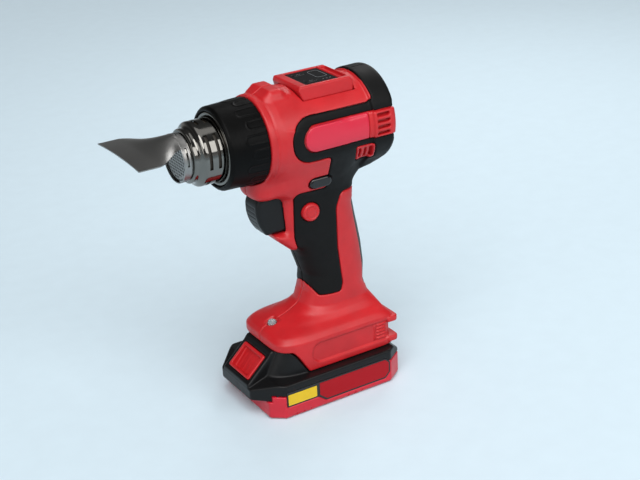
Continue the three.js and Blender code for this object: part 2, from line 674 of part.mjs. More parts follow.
function fanImpeller() {
  let body = ring(FAN.x0, FAN.x1, MOTOR.shaftR + GAP, FAN.hubR, 14);
  for (let i = 0; i < FAN.blades; i += 1) {
    const geometry = new THREE.BoxGeometry(11, 1.3, FAN.r - FAN.hubR + 1.5);
    geometry.rotateZ(THREE.MathUtils.degToRad(FAN.pitch));
    geometry.translate(-3.5, 0, (FAN.r + FAN.hubR - 1.5) / 2);
    geometry.rotateX(i * 2 * Math.PI / FAN.blades);
    geometry.translate(0, 0, BARREL.z);
    body = join(body, solid(geometry));
  }
  return body;
}

addNode('motor_mount', motorMount(), PAINT.hardBlack);
addNode('fan_motor', turned([
  [12, 0], [12, 1.9], [MOTOR.x0, 1.9], [MOTOR.x0, 5.4], [5.4, 5.4], [5.4, MOTOR.r], [34, MOTOR.r],
  [MOTOR.x1, 10.6], [MOTOR.x1, 3.2], [37.6, 3.2], [37.6, 0],
], 16), PAINT.satinSteel);
addNode('motor_shaft', turned([
  [-9.4, 0], [-9.4, MOTOR.shaftR], [11.6, MOTOR.shaftR], [11.6, 0],
], 12), PAINT.polishedSteel);
addNode('fan_impeller', fanImpeller(), PAINT.nylonWhite);

// Controls in the grip

function trigger() {
  const profile = outline([
    [TRIGGER.rear, TRIGGER.top], [-34.6, TRIGGER.top], [-37, 144], [-37.4, 137], [-35.6, 129],
    [-32.6, 123.4], [-31, TRIGGER.bottom], [TRIGGER.rear, TRIGGER.bottom],
  ]);
  const body = slabY(profile, -TRIGGER.halfWidth, TRIGGER.halfWidth);
  const springBore = rodX(134.5, 3.6, -14, 0, 12);
  return cut(body, springBore);
}

function rodX(z, r, x0, x1, sides) {
  const geometry = new THREE.CylinderGeometry(r, r, x1 - x0, sides);
  geometry.rotateZ(Math.PI / 2);
  geometry.translate((x0 + x1) / 2, 0, z);
  return solid(geometry);
}

function triggerSpring() {
  const geometry = coil(2.6, 0.4, 15.6, 5, 8, 4);
  geometry.rotateY(Math.PI / 2);
  geometry.translate(-13, 0, 134.5);
  return solid(geometry);
}

function lockButton() {
  const cap = rodY(LOCK.x, LOCK.z, LOCK.r, LOCK.face, LOCK.inner, 24);
  return cut(cap, rodY(LOCK.x, LOCK.z, 4, -17.6, 0, 12));
}

function lockSpring() {
  const geometry = coil(2.8, 0.4, 6.6, 3, 8, 4);
  geometry.rotateX(-Math.PI / 2);
  geometry.translate(LOCK.x, -16.6, LOCK.z);
  return solid(geometry);
}

function workLightLens() {
  const geometry = new THREE.LatheGeometry([
    new THREE.Vector2(0, LIGHT.foot), new THREE.Vector2(LIGHT.r, LIGHT.foot),
    new THREE.Vector2(LIGHT.r, LIGHT.top - 1.6), new THREE.Vector2(2.2, LIGHT.top - 0.6),
    new THREE.Vector2(0, LIGHT.top),
  ], 16);
  geometry.rotateX(Math.PI / 2);
  geometry.translate(LIGHT.x, 0, 0);
  return solid(geometry);
}

function terminalBlock() {
  const { x0, x1, y, thick, z0, z1 } = CONTACT;
  const base = box(38.8, 44.5, -13, 13, 26.8, RAIL.top + 0.1);
  const blades = [-y, y].map((middle) => box(x0, x1, middle - thick / 2, middle + thick / 2, z0, z1));
  return join(base, ...blades);
}

addNode('trigger', trigger(), PAINT.hardBlack);
addNode('trigger_spring', triggerSpring(), PAINT.zincScrew);
addNode('switch_body', box(
  SWITCH.x0, SWITCH.x1, -SWITCH.halfWidth, SWITCH.halfWidth, SWITCH.z0, SWITCH.z1), PAINT.hardBlack);
addNode('lock_button', lockButton(), PAINT.casingRed);
addNode('lock_spring', lockSpring(), PAINT.zincScrew);
addNode('selector_bar', slabY(capsule(SELECTOR.x, SELECTOR.z, SELECTOR.length, SELECTOR.height),
  SELECTOR.left, SELECTOR.right, 3), PAINT.glossBlack);
addNode('work_light_lens', workLightLens(), PAINT.clearLens);
addNode('work_light_board', box(
  LIGHT.x - 4, LIGHT.x + 6, -5.5, 5.5, LIGHT.boardZ, LIGHT.boardZ + 1), PAINT.boardGreen);
addNode('terminal_block', terminalBlock(), PAINT.brass);

// Battery pack

// Plan of the pack: chamfered corners, and a front end whose chamfers start at (sideX, halfY)
function packPlan(frontX, frontY, sideX) {
  const { halfY, rear, rearY, rearSide } = PACK;
  return outline([
    [frontX, -frontY], [sideX, -halfY], [rearSide, -halfY], [rear, -rearY],
    [rear, rearY], [rearSide, halfY], [sideX, halfY], [frontX, frontY],
  ]);
}

function nosePlan() {
  return packPlan(PACK.noseX, PACK.noseY, PACK.noseX + PACK.halfY - PACK.noseY);
}

function cellRoom(z0, z1) {
  const ends = [-1, 1].map((side) => rodY(side * CELL.pitch * 2, CELL.z, CELL.r + 0.4, -32.8, 32.8, 16));
  return join(box(-44, 44, -33, 33, z0, z1), ...ends);
}

function labelRecess(side, grow) {
  const { x0, x1, z0, z1, corner, thick } = LABEL;
  const shape = roundedBox(x0 - grow, z0 - grow, x1 + grow, z1 + grow, corner);
  const outside = PACK.halfY + (grow ? 5 : 0);
  const inside = PACK.halfY - thick - grow;
  return side < 0 ? slabY(shape, -outside, -inside, 3) : slabY(shape, inside, outside, 3);
}

function lowerCase() {
  const plan = packPlan(PACK.front, PACK.frontY, PACK.frontSide);
  const body = slabZ(plan, 0, PACK.split - GAP);
  const noseStep = box(-FAR, PACK.stepX, -FAR, FAR, PACK.noseUnder - 0.4, 40);
  const screwTools = packScrewPlaces().map(([x, y]) => packScrewHole(x, y));
  return cut(body, cellRoom(2.2, 40), noseStep, labelRecess(-1, GAP), labelRecess(1, GAP), ...screwTools);
}

function packScrewPlaces() {
  return [[-47, -24], [-47, 24], [47, -24], [47, 24]];
}

function rodZ(x, y, r, z0, z1, sides = 6) {
  const geometry = new THREE.CylinderGeometry(r, r, z1 - z0, sides);
  geometry.rotateX(Math.PI / 2);
  geometry.translate(x, y, (z0 + z1) / 2);
  return solid(geometry);
}

function packScrewHole(x, y) {
  return join(rodZ(x, y, 1.4, -1, 40), rodZ(x, y, 2.3, -1, 3.2));
}

function packScrew(x, y) {
  return join(rodZ(x, y, 2, 1.2, 2.9), rodZ(x, y, 1.1, 2.5, 22));
}

function latchPlace(body) {
  return body.rotate([0, -LATCH.slope, 0]).translate([LATCH.x, 0, LATCH.z]);
}

function latchBox(lengthwise, across, from, to) {
  return latchPlace(box(-lengthwise / 2, lengthwise / 2, -across, across, from, to));
}

function upperCase() {
  const band = slabZ(nosePlan(), PACK.split, PACK.deck);
  const nose = slabZ(nosePlan(), PACK.noseUnder, PACK.split + 1).intersect(
    box(-FAR, PACK.stepX - GAP, -FAR, FAR, 0, 40));
  const towerSide = outline([
    [-62, 20], [-62, TOWER.top], [-30.8, TOWER.top], [-28.4, 41.3], [-24.7, 37.4], [-17.7, PACK.deck],
    [-17.7, 20],
  ]);
  const tower = slabY(towerSide, -40, 40).intersect(towerPlan());
  const slope = [[PACK.noseX, TOWER.slopeFoot], [-41.6, 38.2], [-38.6, TOWER.top]];
  const latchNose = slabY(outline([
    [PACK.noseX, 20], ...slope, [-31, TOWER.top], [-31, 20],
  ]), -PACK.frameY, PACK.frameY);
  const front = slabY(outline([
    [-80, TOWER.slopeFoot], ...slope, [-38.6, 60], [-80, 60],
  ]), -PACK.frameY, PACK.frameY);
  const rearBevel = slabY(outline([[48.5, PACK.deck], [60, 16.2], [60, 40], [48.5, 40]]), -40, 40);
  const latchRoom = latchBox(LATCH.length + 2 * GAP, LATCH.halfWidth + GAP, LATCH.floor, 20);
  const neck = box(RAIL.x0, RAIL.x1, -RAIL.neck, RAIL.neck, RAIL.foot, RAIL.top);
  const flanges = box(RAIL.x0, RAIL.x1, -RAIL.flange, RAIL.flange, RAIL.step, RAIL.top);
  const outside = join(cut(join(band, nose, tower), front, rearBevel), latchNose);
  const body = join(cut(outside, latchRoom), neck, flanges);
  const slots = [-CONTACT.y, CONTACT.y].map((y) => box(
    CONTACT.x0 - 0.6, FAR, y - 1.1, y + 1.1, CONTACT.z0 - 1, CONTACT.z1 + 0.6));
  const screwTools = packScrewPlaces().map(([x, y]) => rodZ(x, y, 1.4, 0, 23));
  return cut(body, cellRoom(10, 22.8), labelRecess(-1, GAP), labelRecess(1, GAP), ...slots, ...screwTools);
}

// Plan of the tower below the foot: it flares forward as it goes down
function towerPlan() {
  const levels = [18, 60];
  return loft(levels.map((z) => ({
    z, x0: TOWER.front - TOWER.flare * (TOWER.top - z), x1: 53, y: FOOT.towerY, n: 3.5, rear: 12,
  })), 32);
}

function latchButton() {
  const body = latchBox(LATCH.length, LATCH.halfWidth, LATCH.bottom, LATCH.top);
  const scoop = latchBox(LATCH.length - 3, LATCH.halfWidth - 1.8, -1.6, 20);
  return cut(body, scoop);
}

function latchSpring() {
  return latchPlace(solid(coil(2.4, 0.4, 1.6, 2, 10, 4)).translate([0, 0, -6.9]));
}

addNode('battery_lower_case', lowerCase(), PAINT.casingRed);
addNode('battery_upper_case', largestPiece(upperCase()), PAINT.hardBlack);
addNode('latch_button', latchButton(), PAINT.casingRed);
addNode('latch_spring', latchSpring(), PAINT.zincScrew);
addNode('battery_label_left', labelRecess(-1, 0), PAINT.labelRed);
addNode('battery_label_right', labelRecess(1, 0), PAINT.labelRed);
addNode('battery_board', box(-20, 34, -20, 20, 21.4, 22.4), PAINT.boardGreen);
for (let i = 0; i < CELL.count; i += 1) {
  const x = (i - (CELL.count - 1) / 2) * CELL.pitch;
  const cell = rodY(x, CELL.z, CELL.r, -CELL.length / 2, CELL.length / 2, 16);
  addNode(`cell_${i + 1}`, cell, PAINT.cellSleeve);
}
packScrewPlaces().forEach(([x, y], i) => {
  addNode(`pack_screw_${i + 1}`, packScrew(x, y), PAINT.zincScrew);
});

export default heatGun;
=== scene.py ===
"""A cordless heat gun: the looks of every piece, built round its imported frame.

Lengths are in millimetres until a mesh is made, in the frame of the part: the nozzle points along -X,
the tool's left side faces -Y, and the origin is the centre of the battery's underside.
"""

import itertools
import math
from types import SimpleNamespace as Sizes

import bmesh
import bpy
import numpy as np
from mathutils import Matrix, Vector


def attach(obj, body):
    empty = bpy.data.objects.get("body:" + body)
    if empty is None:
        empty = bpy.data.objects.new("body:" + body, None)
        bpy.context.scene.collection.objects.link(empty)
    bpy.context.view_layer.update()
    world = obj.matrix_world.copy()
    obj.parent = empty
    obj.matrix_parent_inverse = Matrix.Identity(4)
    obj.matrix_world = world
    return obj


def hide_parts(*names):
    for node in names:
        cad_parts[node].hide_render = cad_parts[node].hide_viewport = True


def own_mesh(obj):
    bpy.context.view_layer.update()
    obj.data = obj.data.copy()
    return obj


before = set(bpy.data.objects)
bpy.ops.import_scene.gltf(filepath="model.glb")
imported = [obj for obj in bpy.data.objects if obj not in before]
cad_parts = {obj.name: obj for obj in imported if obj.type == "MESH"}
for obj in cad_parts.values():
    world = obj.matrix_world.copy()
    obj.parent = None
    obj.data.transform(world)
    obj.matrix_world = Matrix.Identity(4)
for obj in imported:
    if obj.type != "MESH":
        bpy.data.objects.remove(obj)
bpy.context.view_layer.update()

MM = 0.001
AXIS_Z = 187.0  # height of the barrel's axis
GAP = 0.3  # between the casing and what is let into it
SKIN = 1.6  # soft cover
WALL = 2.6  # moulded casing
FAR = 120.0  # beyond every edge of the object


# ---------------------------------------------------------------- distance fields

class Grid:
    """Sample points over a box, with the three axes kept apart so that flat fields stay cheap."""

    def __init__(self, low, high, pitch):
        self.low = np.array(low, float)
        self.pitch = pitch
        axes = [np.arange(a, b + pitch, pitch, dtype=np.float32) for a, b in zip(low, high)]
        self.x = axes[0][:, None, None]
        self.y = axes[1][None, :, None]
        self.z = axes[2][None, None, :]


def both(a, b, r=0.0):
    """The space in both a and b, with the edge where they meet rounded by r."""
    if r == 0.0:
        return np.maximum(a, b)
    return np.minimum(-r, np.maximum(a, b)) + np.hypot(np.maximum(r + a, 0), np.maximum(r + b, 0))


def either(a, b, r=0.0):
    """The space in a or b, with a fillet of radius r where they meet."""
    return -both(-a, -b, r)


def without(a, b, r=0.0):
    return both(a, -b, r)


def outline(*corners):
    """A closed outline through (a, b, radius) corners, each rounded by an arc of its radius."""
    points = []
    for i, (a, b, r) in enumerate(corners):
        here = np.array((a, b), float)
        back = np.array(corners[i - 1][:2], float) - here
        ahead = np.array(corners[(i + 1) % len(corners)][:2], float) - here
        back /= np.linalg.norm(back)
        ahead /= np.linalg.norm(ahead)
        half = math.acos(float(np.clip(back @ ahead, -1, 1))) / 2
        if r == 0 or half > 1.55:
            points.append(here)
            continue
        middle = back + ahead
        centre = here + middle / np.linalg.norm(middle) * r / math.sin(half)
        start, end = here + back * r / math.tan(half), here + ahead * r / math.tan(half)
        first = math.atan2(*(start - centre)[::-1])
        sweep = (math.atan2(*(end - centre)[::-1]) - first + math.pi) % (2 * math.pi) - math.pi
        steps = max(2, math.ceil(abs(sweep) / math.radians(10)))
        for k in range(steps + 1):
            turn = first + sweep * k / steps
            points.append(centre + r * np.array((math.cos(turn), math.sin(turn))))
    return np.array(points)


def flat_distance(a, b, points):
    """Signed distance from each (a, b) to a closed outline, negative inside."""
    nearest = np.full(np.broadcast(a, b).shape, np.inf, np.float32)
    inside = np.zeros(nearest.shape, bool)
    for (p0, p1), (q0, q1) in zip(points, np.roll(points, -1, axis=0)):
        e0, e1 = q0 - p0, q1 - p1
        length = e0 * e0 + e1 * e1
        if length < 1e-12:
            continue
        along = np.clip(((a - p0) * e0 + (b - p1) * e1) / length, 0, 1)
        nearest = np.minimum(nearest, (a - p0 - along * e0) ** 2 + (b - p1 - along * e1) ** 2)
        if e1 != 0:
            inside ^= ((p1 > b) != (q1 > b)) & (a < e0 * (b - p1) / e1 + p0)
    return np.where(inside, -1, 1) * np.sqrt(nearest)


def side(grid, points):
    """An outline in side view (x, z), running right through along Y."""
    return flat_distance(grid.x, grid.z, points)


def plan(grid, points):
    """An outline in plan (x, y), running right through along Z."""
    return flat_distance(grid.x, grid.y, points)


def turned(grid, points):
    """A closed outline of (x, radius) turned about the barrel's axis."""
    radius = np.hypot(grid.y, grid.z - AXIS_Z)
    step = 0.2
    table_r = np.arange(0, radius.max() + 2 * step, step, dtype=np.float32)
    table = flat_distance(grid.x[:, 0, :], table_r[None, :], points).astype(np.float32)
    place = (radius / step)[0]
    low = place.astype(int)
    share = (place - low).astype(np.float32)
    return table[:, low] * (1 - share) + table[:, low + 1] * share


def slab(values, low, high):
    """Between two parallel planes."""
    return np.maximum(low - values, values - high)


def rod(a, b, a0, b0, r):
    return np.hypot(a - a0, b - b0) - r


def capsule(a, b, a0, a1, b0, r):
    """A round-ended bar from a0 to a1 at b0."""
    return np.hypot(a - np.clip(a, a0, a1), b - b0) - r


def even(field, grid):
    """The field divided by its slope, so that it is close to a true distance."""
    slopes = np.gradient(field, grid.pitch)
    return field / np.maximum(np.sqrt(sum(s * s for s in slopes)), 0.35)


def surface(field, grid):
    """Closed surface net of the field's zero level: points in millimetres, and four-cornered faces."""
    inside = field < 0
    corners = list(itertools.product((0, 1), repeat=3))
    cells = [n - 1 for n in field.shape]
    count = np.zeros(cells, np.int8)
    for i, j, k in corners:
        count += inside[i:i + cells[0], j:j + cells[1], k:k + cells[2]]
    crossed = (count > 0) & (count < 8)
    at = np.argwhere(crossed)
    index = np.full(cells, -1, np.int32)
    index[crossed] = np.arange(len(at))
    values = {c: field[at[:, 0] + c[0], at[:, 1] + c[1], at[:, 2] + c[2]] for c in corners}
    total = np.zeros((len(at), 3))
    number = np.zeros(len(at))
    for a, b in itertools.combinations(corners, 2):
        if sum(abs(p - q) for p, q in zip(a, b)) != 1:
            continue
        crosses = (values[a] < 0) != (values[b] < 0)
        share = values[a][crosses] / (values[a][crosses] - values[b][crosses])
        total[crosses] += np.array(a) + share[:, None] * (np.array(b) - np.array(a))
        number[crosses] += 1
    points = grid.low + grid.pitch * (at + total / number[:, None])
    faces = []
    for axis in range(3):
        u, v = (axis + 1) % 3, (axis + 2) % 3
        here = np.moveaxis(inside, (axis, u, v), (0, 1, 2))
        cell = np.moveaxis(index, (axis, u, v), (0, 1, 2))
        start, end = here[:-1, 1:-1, 1:-1], here[1:, 1:-1, 1:-1]
        for leaving in (True, False):
            i, j, k = np.nonzero((start == leaving) & (end != leaving))
            ring = np.stack([cell[i, j, k], cell[i, j + 1, k], cell[i, j + 1, k + 1], cell[i, j, k + 1]], 1)
            faces.append(ring if leaving else ring[:, ::-1])
    return points, np.concatenate(faces)


# ---------------------------------------------------------------- meshes

def linked(name, data):
    """A new object of the data, put in the scene."""
    obj = bpy.data.objects.new(name, data)
    bpy.context.scene.collection.objects.link(obj)
    return obj


def evaluated_mesh(obj):
    """The mesh that an object makes with its modifiers or its curve's bevel."""
    bpy.context.view_layer.update()
    return bpy.data.meshes.new_from_object(obj.evaluated_get(bpy.context.evaluated_depsgraph_get()))


def mesh_object(name, points, faces):
    """A smooth-shaded object from points in millimetres and faces with one number of corners."""
    mesh = bpy.data.meshes.new(name)
    mesh.vertices.add(len(points))
    mesh.vertices.foreach_set("co", (np.asarray(points) * MM).astype(np.float32).ravel())
    mesh.loops.add(faces.size)
    mesh.loops.foreach_set("vertex_index", faces.astype(np.int32).ravel())
    mesh.polygons.add(len(faces))
    mesh.polygons.foreach_set("loop_start", np.arange(0, faces.size, faces.shape[1], dtype=np.int32))
    mesh.polygons.foreach_set("use_smooth", np.full(len(faces), True))
    mesh.update(calc_edges=True)
    return linked(name, mesh)


def applied(obj):
    """The object with its modifiers baked into its mesh."""
    baked = evaluated_mesh(obj)
    baked.name = obj.name
    obj.modifiers.clear()
    obj.data = baked
    return obj


def relaxed(points, faces, rounds=2):
    """Points moved a little towards their neighbours' mean and back, which takes out grid noise."""
    ends = np.concatenate([faces[:, [i, (i + 1) % 4]] for i in range(4)])
    number = np.bincount(ends[:, 0], minlength=len(points))[:, None]
    for _ in range(rounds):
        for weight in (0.5, -0.52):
            mean = np.stack(
                [np.bincount(ends[:, 0], points[ends[:, 1], i], len(points)) for i in range(3)], 1)
            points = points + weight * (mean / number - points)
    return points


def moulded(name, field, grid, keep=1.0, mirror=False):
    """A piece made from its distance field. keep is the share of triangles left by the thinning."""
    points, faces = surface(field, grid)
    points = relaxed(points, faces)
    if mirror:
        points = points * (1, -1, 1)
        faces = faces[:, ::-1]
    obj = mesh_object(name, points, faces)
    if keep < 1.0:
        obj.modifiers.new("thin", "DECIMATE").ratio = keep
        applied(obj)
    return obj


def curve_mesh(name, splines, closed, **settings):
    """The mesh of a curve through lists of (x, y, z) points, with the curve's settings by name."""
    curve = bpy.data.curves.new(name, "CURVE")
    for setting, value in settings.items():
        setattr(curve, setting, value)
    for points in splines:
        spline = curve.splines.new("POLY")
        spline.points.add(len(points) - 1)
        for point, place in zip(spline.points, points):
            point.co = (*place, 1)
        spline.use_cyclic_u = closed
    obj = linked(name, curve)
    mesh = evaluated_mesh(obj)
    bpy.data.objects.remove(obj)
    return mesh


def flat_curve(name, outlines, thick, edge=0.0):
    """A plate from closed outlines, holes included, standing from 0 to thick along its local Z."""
    splines = [[(a, b, 0) for a, b in points] for points in outlines]
    mesh = curve_mesh(name, splines, True, dimensions="2D", fill_mode="BOTH", extrude=thick / 2 - edge,
                      bevel_depth=edge, bevel_resolution=1, offset=-edge)
    mesh.transform(Matrix.Translation((0, 0, thick / 2)))
    return mesh


SMOOTH_BELOW = 35  # degrees between two faces that shade as one
FLAT_ABOVE = 20  # the same for plates, whose faces stay flat beside their bevels


def welded(mesh, angle=SMOOTH_BELOW):
    """Doubled points merged, faces turned outwards, and edges sharper than the angle marked."""
    body = bmesh.new()
    body.from_mesh(mesh)
    bmesh.ops.remove_doubles(body, verts=body.verts, dist=1e-4)
    bmesh.ops.recalc_face_normals(body, faces=body.faces)
    for face in body.faces:
        face.smooth = True
    for edge in body.edges:
        edge.smooth = edge.is_manifold and edge.calc_face_angle(0) < math.radians(angle)
    body.to_mesh(mesh)
    body.free()
    return mesh


def placed(name, mesh, place):
    """An object of a mesh in millimetres, moved to its place in the row frame."""
    mesh.transform(Matrix.Scale(MM, 4) @ place)
    mesh.name = name
    return linked(name, mesh)


def frame_of(origin, x_axis, y_axis):
    """The matrix that puts local X and Y along two row directions, at an origin."""
    x_axis, y_axis = Vector(x_axis).normalized(), Vector(y_axis).normalized()
    turn = Matrix((x_axis, y_axis, x_axis.cross(y_axis))).transposed().to_4x4()
    return Matrix.Translation(Vector(origin)) @ turn


def plate(name, outlines, thick, place, edge=0.0):
    return placed(name, welded(flat_curve(name, outlines, thick, edge), FLAT_ABOVE), place)


ALONG_BARREL = frame_of((0, 0, AXIS_Z), (0, 1, 0), (0, 0, 1))  # local Z runs along +X on the axis
SOCKET_LOBES = 6


def lathe(name, profile, place, sides):
    """Rings of (height, radius, share of lobes) round the place's local Z, closed where a radius is 0."""
    body = bmesh.new()
    rings = []
    for height, radius, *wave in profile:
        if radius == 0:
            rings.append([body.verts.new((0, 0, height))])
            continue
        ring = []
        for i in range(sides):
            turn = 2 * math.pi * i / sides
            reach = radius * (1 + (wave[0] if wave else 0) * math.cos(SOCKET_LOBES * turn))
            ring.append(body.verts.new((reach * math.cos(turn), reach * math.sin(turn), height)))
        rings.append(ring)
    closed = len(rings[0]) > 1 and len(rings[-1]) > 1
    for low, high in zip(rings, rings[1:] + rings[:1] if closed else rings[1:]):
        for i in range(sides):
            j = (i + 1) % sides
            corners = [low[i % len(low)], low[j % len(low)], high[j % len(high)], high[i % len(high)]]
            corners = list(dict.fromkeys(corners))
            if len(corners) > 2:
                body.faces.new(corners)
    mesh = bpy.data.meshes.new(name)
    body.to_mesh(mesh)
    body.free()
    return placed(name, welded(mesh), place)


def joined(name, *objects):
    """One object made of several, in which each part keeps its own material slots."""
    bpy.ops.object.select_all(action="DESELECT")
    for obj in objects:
        obj.select_set(True)
    bpy.context.view_layer.objects.active = objects[0]
    bpy.ops.object.join()
    objects[0].name = name
    return objects[0]


def wire(name, points, radius, place):
    """A round wire through the points, as a mesh."""
    mesh = curve_mesh(name, [points], False, dimensions="3D", bevel_depth=radius, bevel_resolution=2,
                      use_fill_caps=True)
    for polygon in mesh.polygons:
        polygon.use_smooth = True
    return placed(name, mesh, place)


def circle(radius, steps):
    """Points round a circle, anticlockwise from the first axis."""
    turns = np.linspace(0, 2 * math.pi, steps + 1)[:-1]
    return [(radius * math.cos(t), radius * math.sin(t)) for t in turns]


def helix(radius, start, length, turns, steps):
    """Points of a coil round Z, from a start height, with this many steps in each turn."""
    angles = [2 * math.pi * i / steps for i in range(turns * steps + 1)]
    return [(radius * math.cos(t), radius * math.sin(t), start + length * i / (turns * steps))
            for i, t in enumerate(angles)]


# ---------------------------------------------------------------- materials

def noise(tree, scale, detail, stretch=(1, 1, 1)):
    """Noise in object space. scale is in features per metre."""
    place = tree.nodes.new("ShaderNodeTexCoord")
    mapping = tree.nodes.new("ShaderNodeMapping")
    mapping.inputs["Scale"].default_value = stretch
    texture = tree.nodes.new("ShaderNodeTexNoise")
    texture.inputs["Scale"].default_value = scale
    texture.inputs["Detail"].default_value = detail
    tree.links.new(place.outputs["Object"], mapping.inputs["Vector"])
    tree.links.new(mapping.outputs["Vector"], texture.inputs["Vector"])
    return texture.outputs["Fac"]


def ranged(tree, value, low, high):
    node = tree.nodes.new("ShaderNodeMapRange")
    node.inputs["From Min"].default_value = 0.3
    node.inputs["From Max"].default_value = 0.7
    node.inputs["To Min"].default_value = low
    node.inputs["To Max"].default_value = high
    tree.links.new(value, node.inputs["Value"])
    return node.outputs["Result"]


def blended(tree, share, first, second):
    node = tree.nodes.new("ShaderNodeMix")
    node.data_type = "RGBA"
    node.inputs["A"].default_value = (*first, 1)
    node.inputs["B"].default_value = (*second, 1)
    tree.links.new(share, node.inputs["Factor"])
    return node.outputs["Result"]


PATCHES = 60  # features per metre of the colour's mottling
SMEARS = 180  # and of the roughness


def material(name, colour, rough, grain=3000, bump=0.15, depth=0.0001, spread=0.05, shade=0.12, metallic=0.0,
             stretch=(1, 1, 1), **sockets):
    """A procedural finish: mottled colour, patchy roughness and a fine surface grain.

    colour is as the eye names it, 0 to 255. grain is in features per metre, depth is the height of the
    grain in metres, spread is how far the roughness wanders and shade how far the colour does.
    """
    made = bpy.data.materials.new(name)
    made.use_nodes = True
    tree = made.node_tree
    shader = tree.nodes["Principled BSDF"]
    base = srgb(*colour)
    patches = noise(tree, PATCHES, 4.0)
    darker = tuple(c * (1 - shade) for c in base)
    lighter = tuple(min(1.0, c * (1 + shade / 2)) for c in base)
    mixed = blended(tree, ranged(tree, patches, 0, 1), darker, lighter)
    tree.links.new(mixed, shader.inputs["Base Color"])
    rough_low, rough_high = max(0.02, rough - spread), min(1.0, rough + spread)
    smears = noise(tree, SMEARS, 3.0, stretch)
    tree.links.new(ranged(tree, smears, rough_low, rough_high), shader.inputs["Roughness"])
    bumps = tree.nodes.new("ShaderNodeBump")
    bumps.inputs["Strength"].default_value = bump
    bumps.inputs["Distance"].default_value = depth
    tree.links.new(noise(tree, grain, 2.0, stretch), bumps.inputs["Height"])
    tree.links.new(bumps.outputs["Normal"], shader.inputs["Normal"])
    shader.inputs["Metallic"].default_value = metallic
    for socket, value in sockets.items():
        shader.inputs[socket.replace("_", " ")].default_value = value
    return made


def srgb(red, green, blue):
    """A colour from 0 to 255, as linear light."""
    return tuple(((c / 255 + 0.055) / 1.055) ** 2.4 if c > 10 else c / 3295 for c in (red, green, blue))


FINISHES = {
    "casing_red": dict(colour=(188, 26, 32), rough=0.42, bump=0.12, Specular_IOR_Level=0.45),
    "pack_red": dict(colour=(196, 22, 44), rough=0.36, bump=0.1, Specular_IOR_Level=0.5),
    "soft_black": dict(colour=(14, 14, 14), rough=0.55, grain=2600, bump=0.2, Specular_IOR_Level=0.15),
    "hard_black": dict(colour=(14, 14, 15), rough=0.38, grain=2200, bump=0.2, Specular_IOR_Level=0.25),
    "guard_black": dict(colour=(6, 6, 6), rough=0.42, grain=1800, bump=0.25, Specular_IOR_Level=0.08),
    "gloss_black": dict(colour=(12, 12, 14), rough=0.09, bump=0.02, spread=0.03),
    "badge_red": dict(colour=(204, 28, 56), rough=0.32, bump=0.04, spread=0.01, shade=0.05,
                      Coat_Weight=0.1, Coat_Roughness=0.15),
    "label_red": dict(colour=(160, 8, 22), rough=0.4, bump=0.03, spread=0.01, shade=0.04,
                      Specular_IOR_Level=0.2),
    "label_yellow": dict(colour=(222, 184, 12), rough=0.34, bump=0.04, spread=0.04),
    "label_black": dict(colour=(22, 22, 24), rough=0.34, bump=0.05, spread=0.04),
    "pad_grey": dict(colour=(62, 65, 66), rough=0.72, grain=1100, bump=0.7, depth=0.0003, spread=0.08),
    "polished_steel": dict(colour=(118, 116, 112), rough=0.07, grain=2500, bump=0.05, shade=0.06,
                           metallic=1.0, stretch=(6, 1, 1)),
    "satin_steel": dict(colour=(150, 149, 147), rough=0.36, grain=1500, bump=0.05, spread=0.03, shade=0.04,
                        metallic=1.0, stretch=(1, 8, 1)),
    # Mica darkened far below its own tan: painted shade for the dark inside of the tube's slots, which direct
    # light would otherwise reach
    "mica": dict(colour=(44, 38, 30), rough=0.6, grain=900, bump=0.4, shade=0.3),
    "ceramic": dict(colour=(232, 226, 214), rough=0.7, grain=1500, bump=0.3),
    "heater_wire": dict(colour=(120, 104, 92), rough=0.45, metallic=1.0, shade=0.35),
    "zinc_steel": dict(colour=(120, 121, 124), rough=0.32, grain=2500, metallic=1.0, shade=0.15),
    "nylon_white": dict(colour=(216, 215, 208), rough=0.5),
    "board_green": dict(colour=(24, 92, 54), rough=0.4, grain=500, bump=0.3, shade=0.35),
    "clear_lens": dict(colour=(236, 242, 246), rough=0.06, bump=0.03, spread=0.02, IOR=1.46,
                       Transmission_Weight=0.75),
    "brass": dict(colour=(196, 158, 86), rough=0.28, metallic=1.0),
    "cell_can": dict(colour=(34, 140, 148), rough=0.34, bump=0.05),
    "print_grey": dict(colour=(96, 100, 104), rough=0.4, bump=0.03),
}
LOOKS = {name: material(name, **settings) for name, settings in FINISHES.items()}


def finish(obj, look, body, node):
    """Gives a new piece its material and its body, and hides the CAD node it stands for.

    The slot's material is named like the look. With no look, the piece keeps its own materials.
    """
    if look:
        obj.data.materials.clear()
        obj.data.materials.append(LOOKS[look])
    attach(obj, body)
    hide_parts(node)
    return obj


# ---------------------------------------------------------------- casing shapes

# Grip and foot: horizontal sections (height, front, back, half width, squareness ahead and behind)
GRIP = np.array((
    (25.7, -38, 53, 30.5, 5, 12), (47.8, -38, 53, 30.5, 5, 12), (51.5, -35.3, 49.4, 27.6, 4.4, 9),
    (54.6, -28, 48.4, 23, 2.9, 7), (58.4, -15, 46.4, 20, 2.6, 5.5), (63, -6.6, 43.6, 18.2, 2.6, 4),
    (72, -2.6, 41.7, 18, 2.8, 3), (84, -1.8, 43.4, 17.4, 2.6, 2.6), (100, -7, 42, 17.4, 2.6, 2.6),
    (112, -13, 39.8, 17.6, 2.7, 2.7), (120, -19.3, 38, 17.8, 2.9, 2.9), (146, -20.8, 33.6, 18.1, 3, 3),
    (154, -28, 37, 20.4, 3.2, 3.2), (164, -31, 39, 24.2, 3.6, 3.6), (176, -31, 36, 28.2, 4, 4),
    (200, -29, 28, 29.8, 4, 4),
))
GRIP_TOP = 196
FOOT_BOTTOM = GRIP[0, 0]
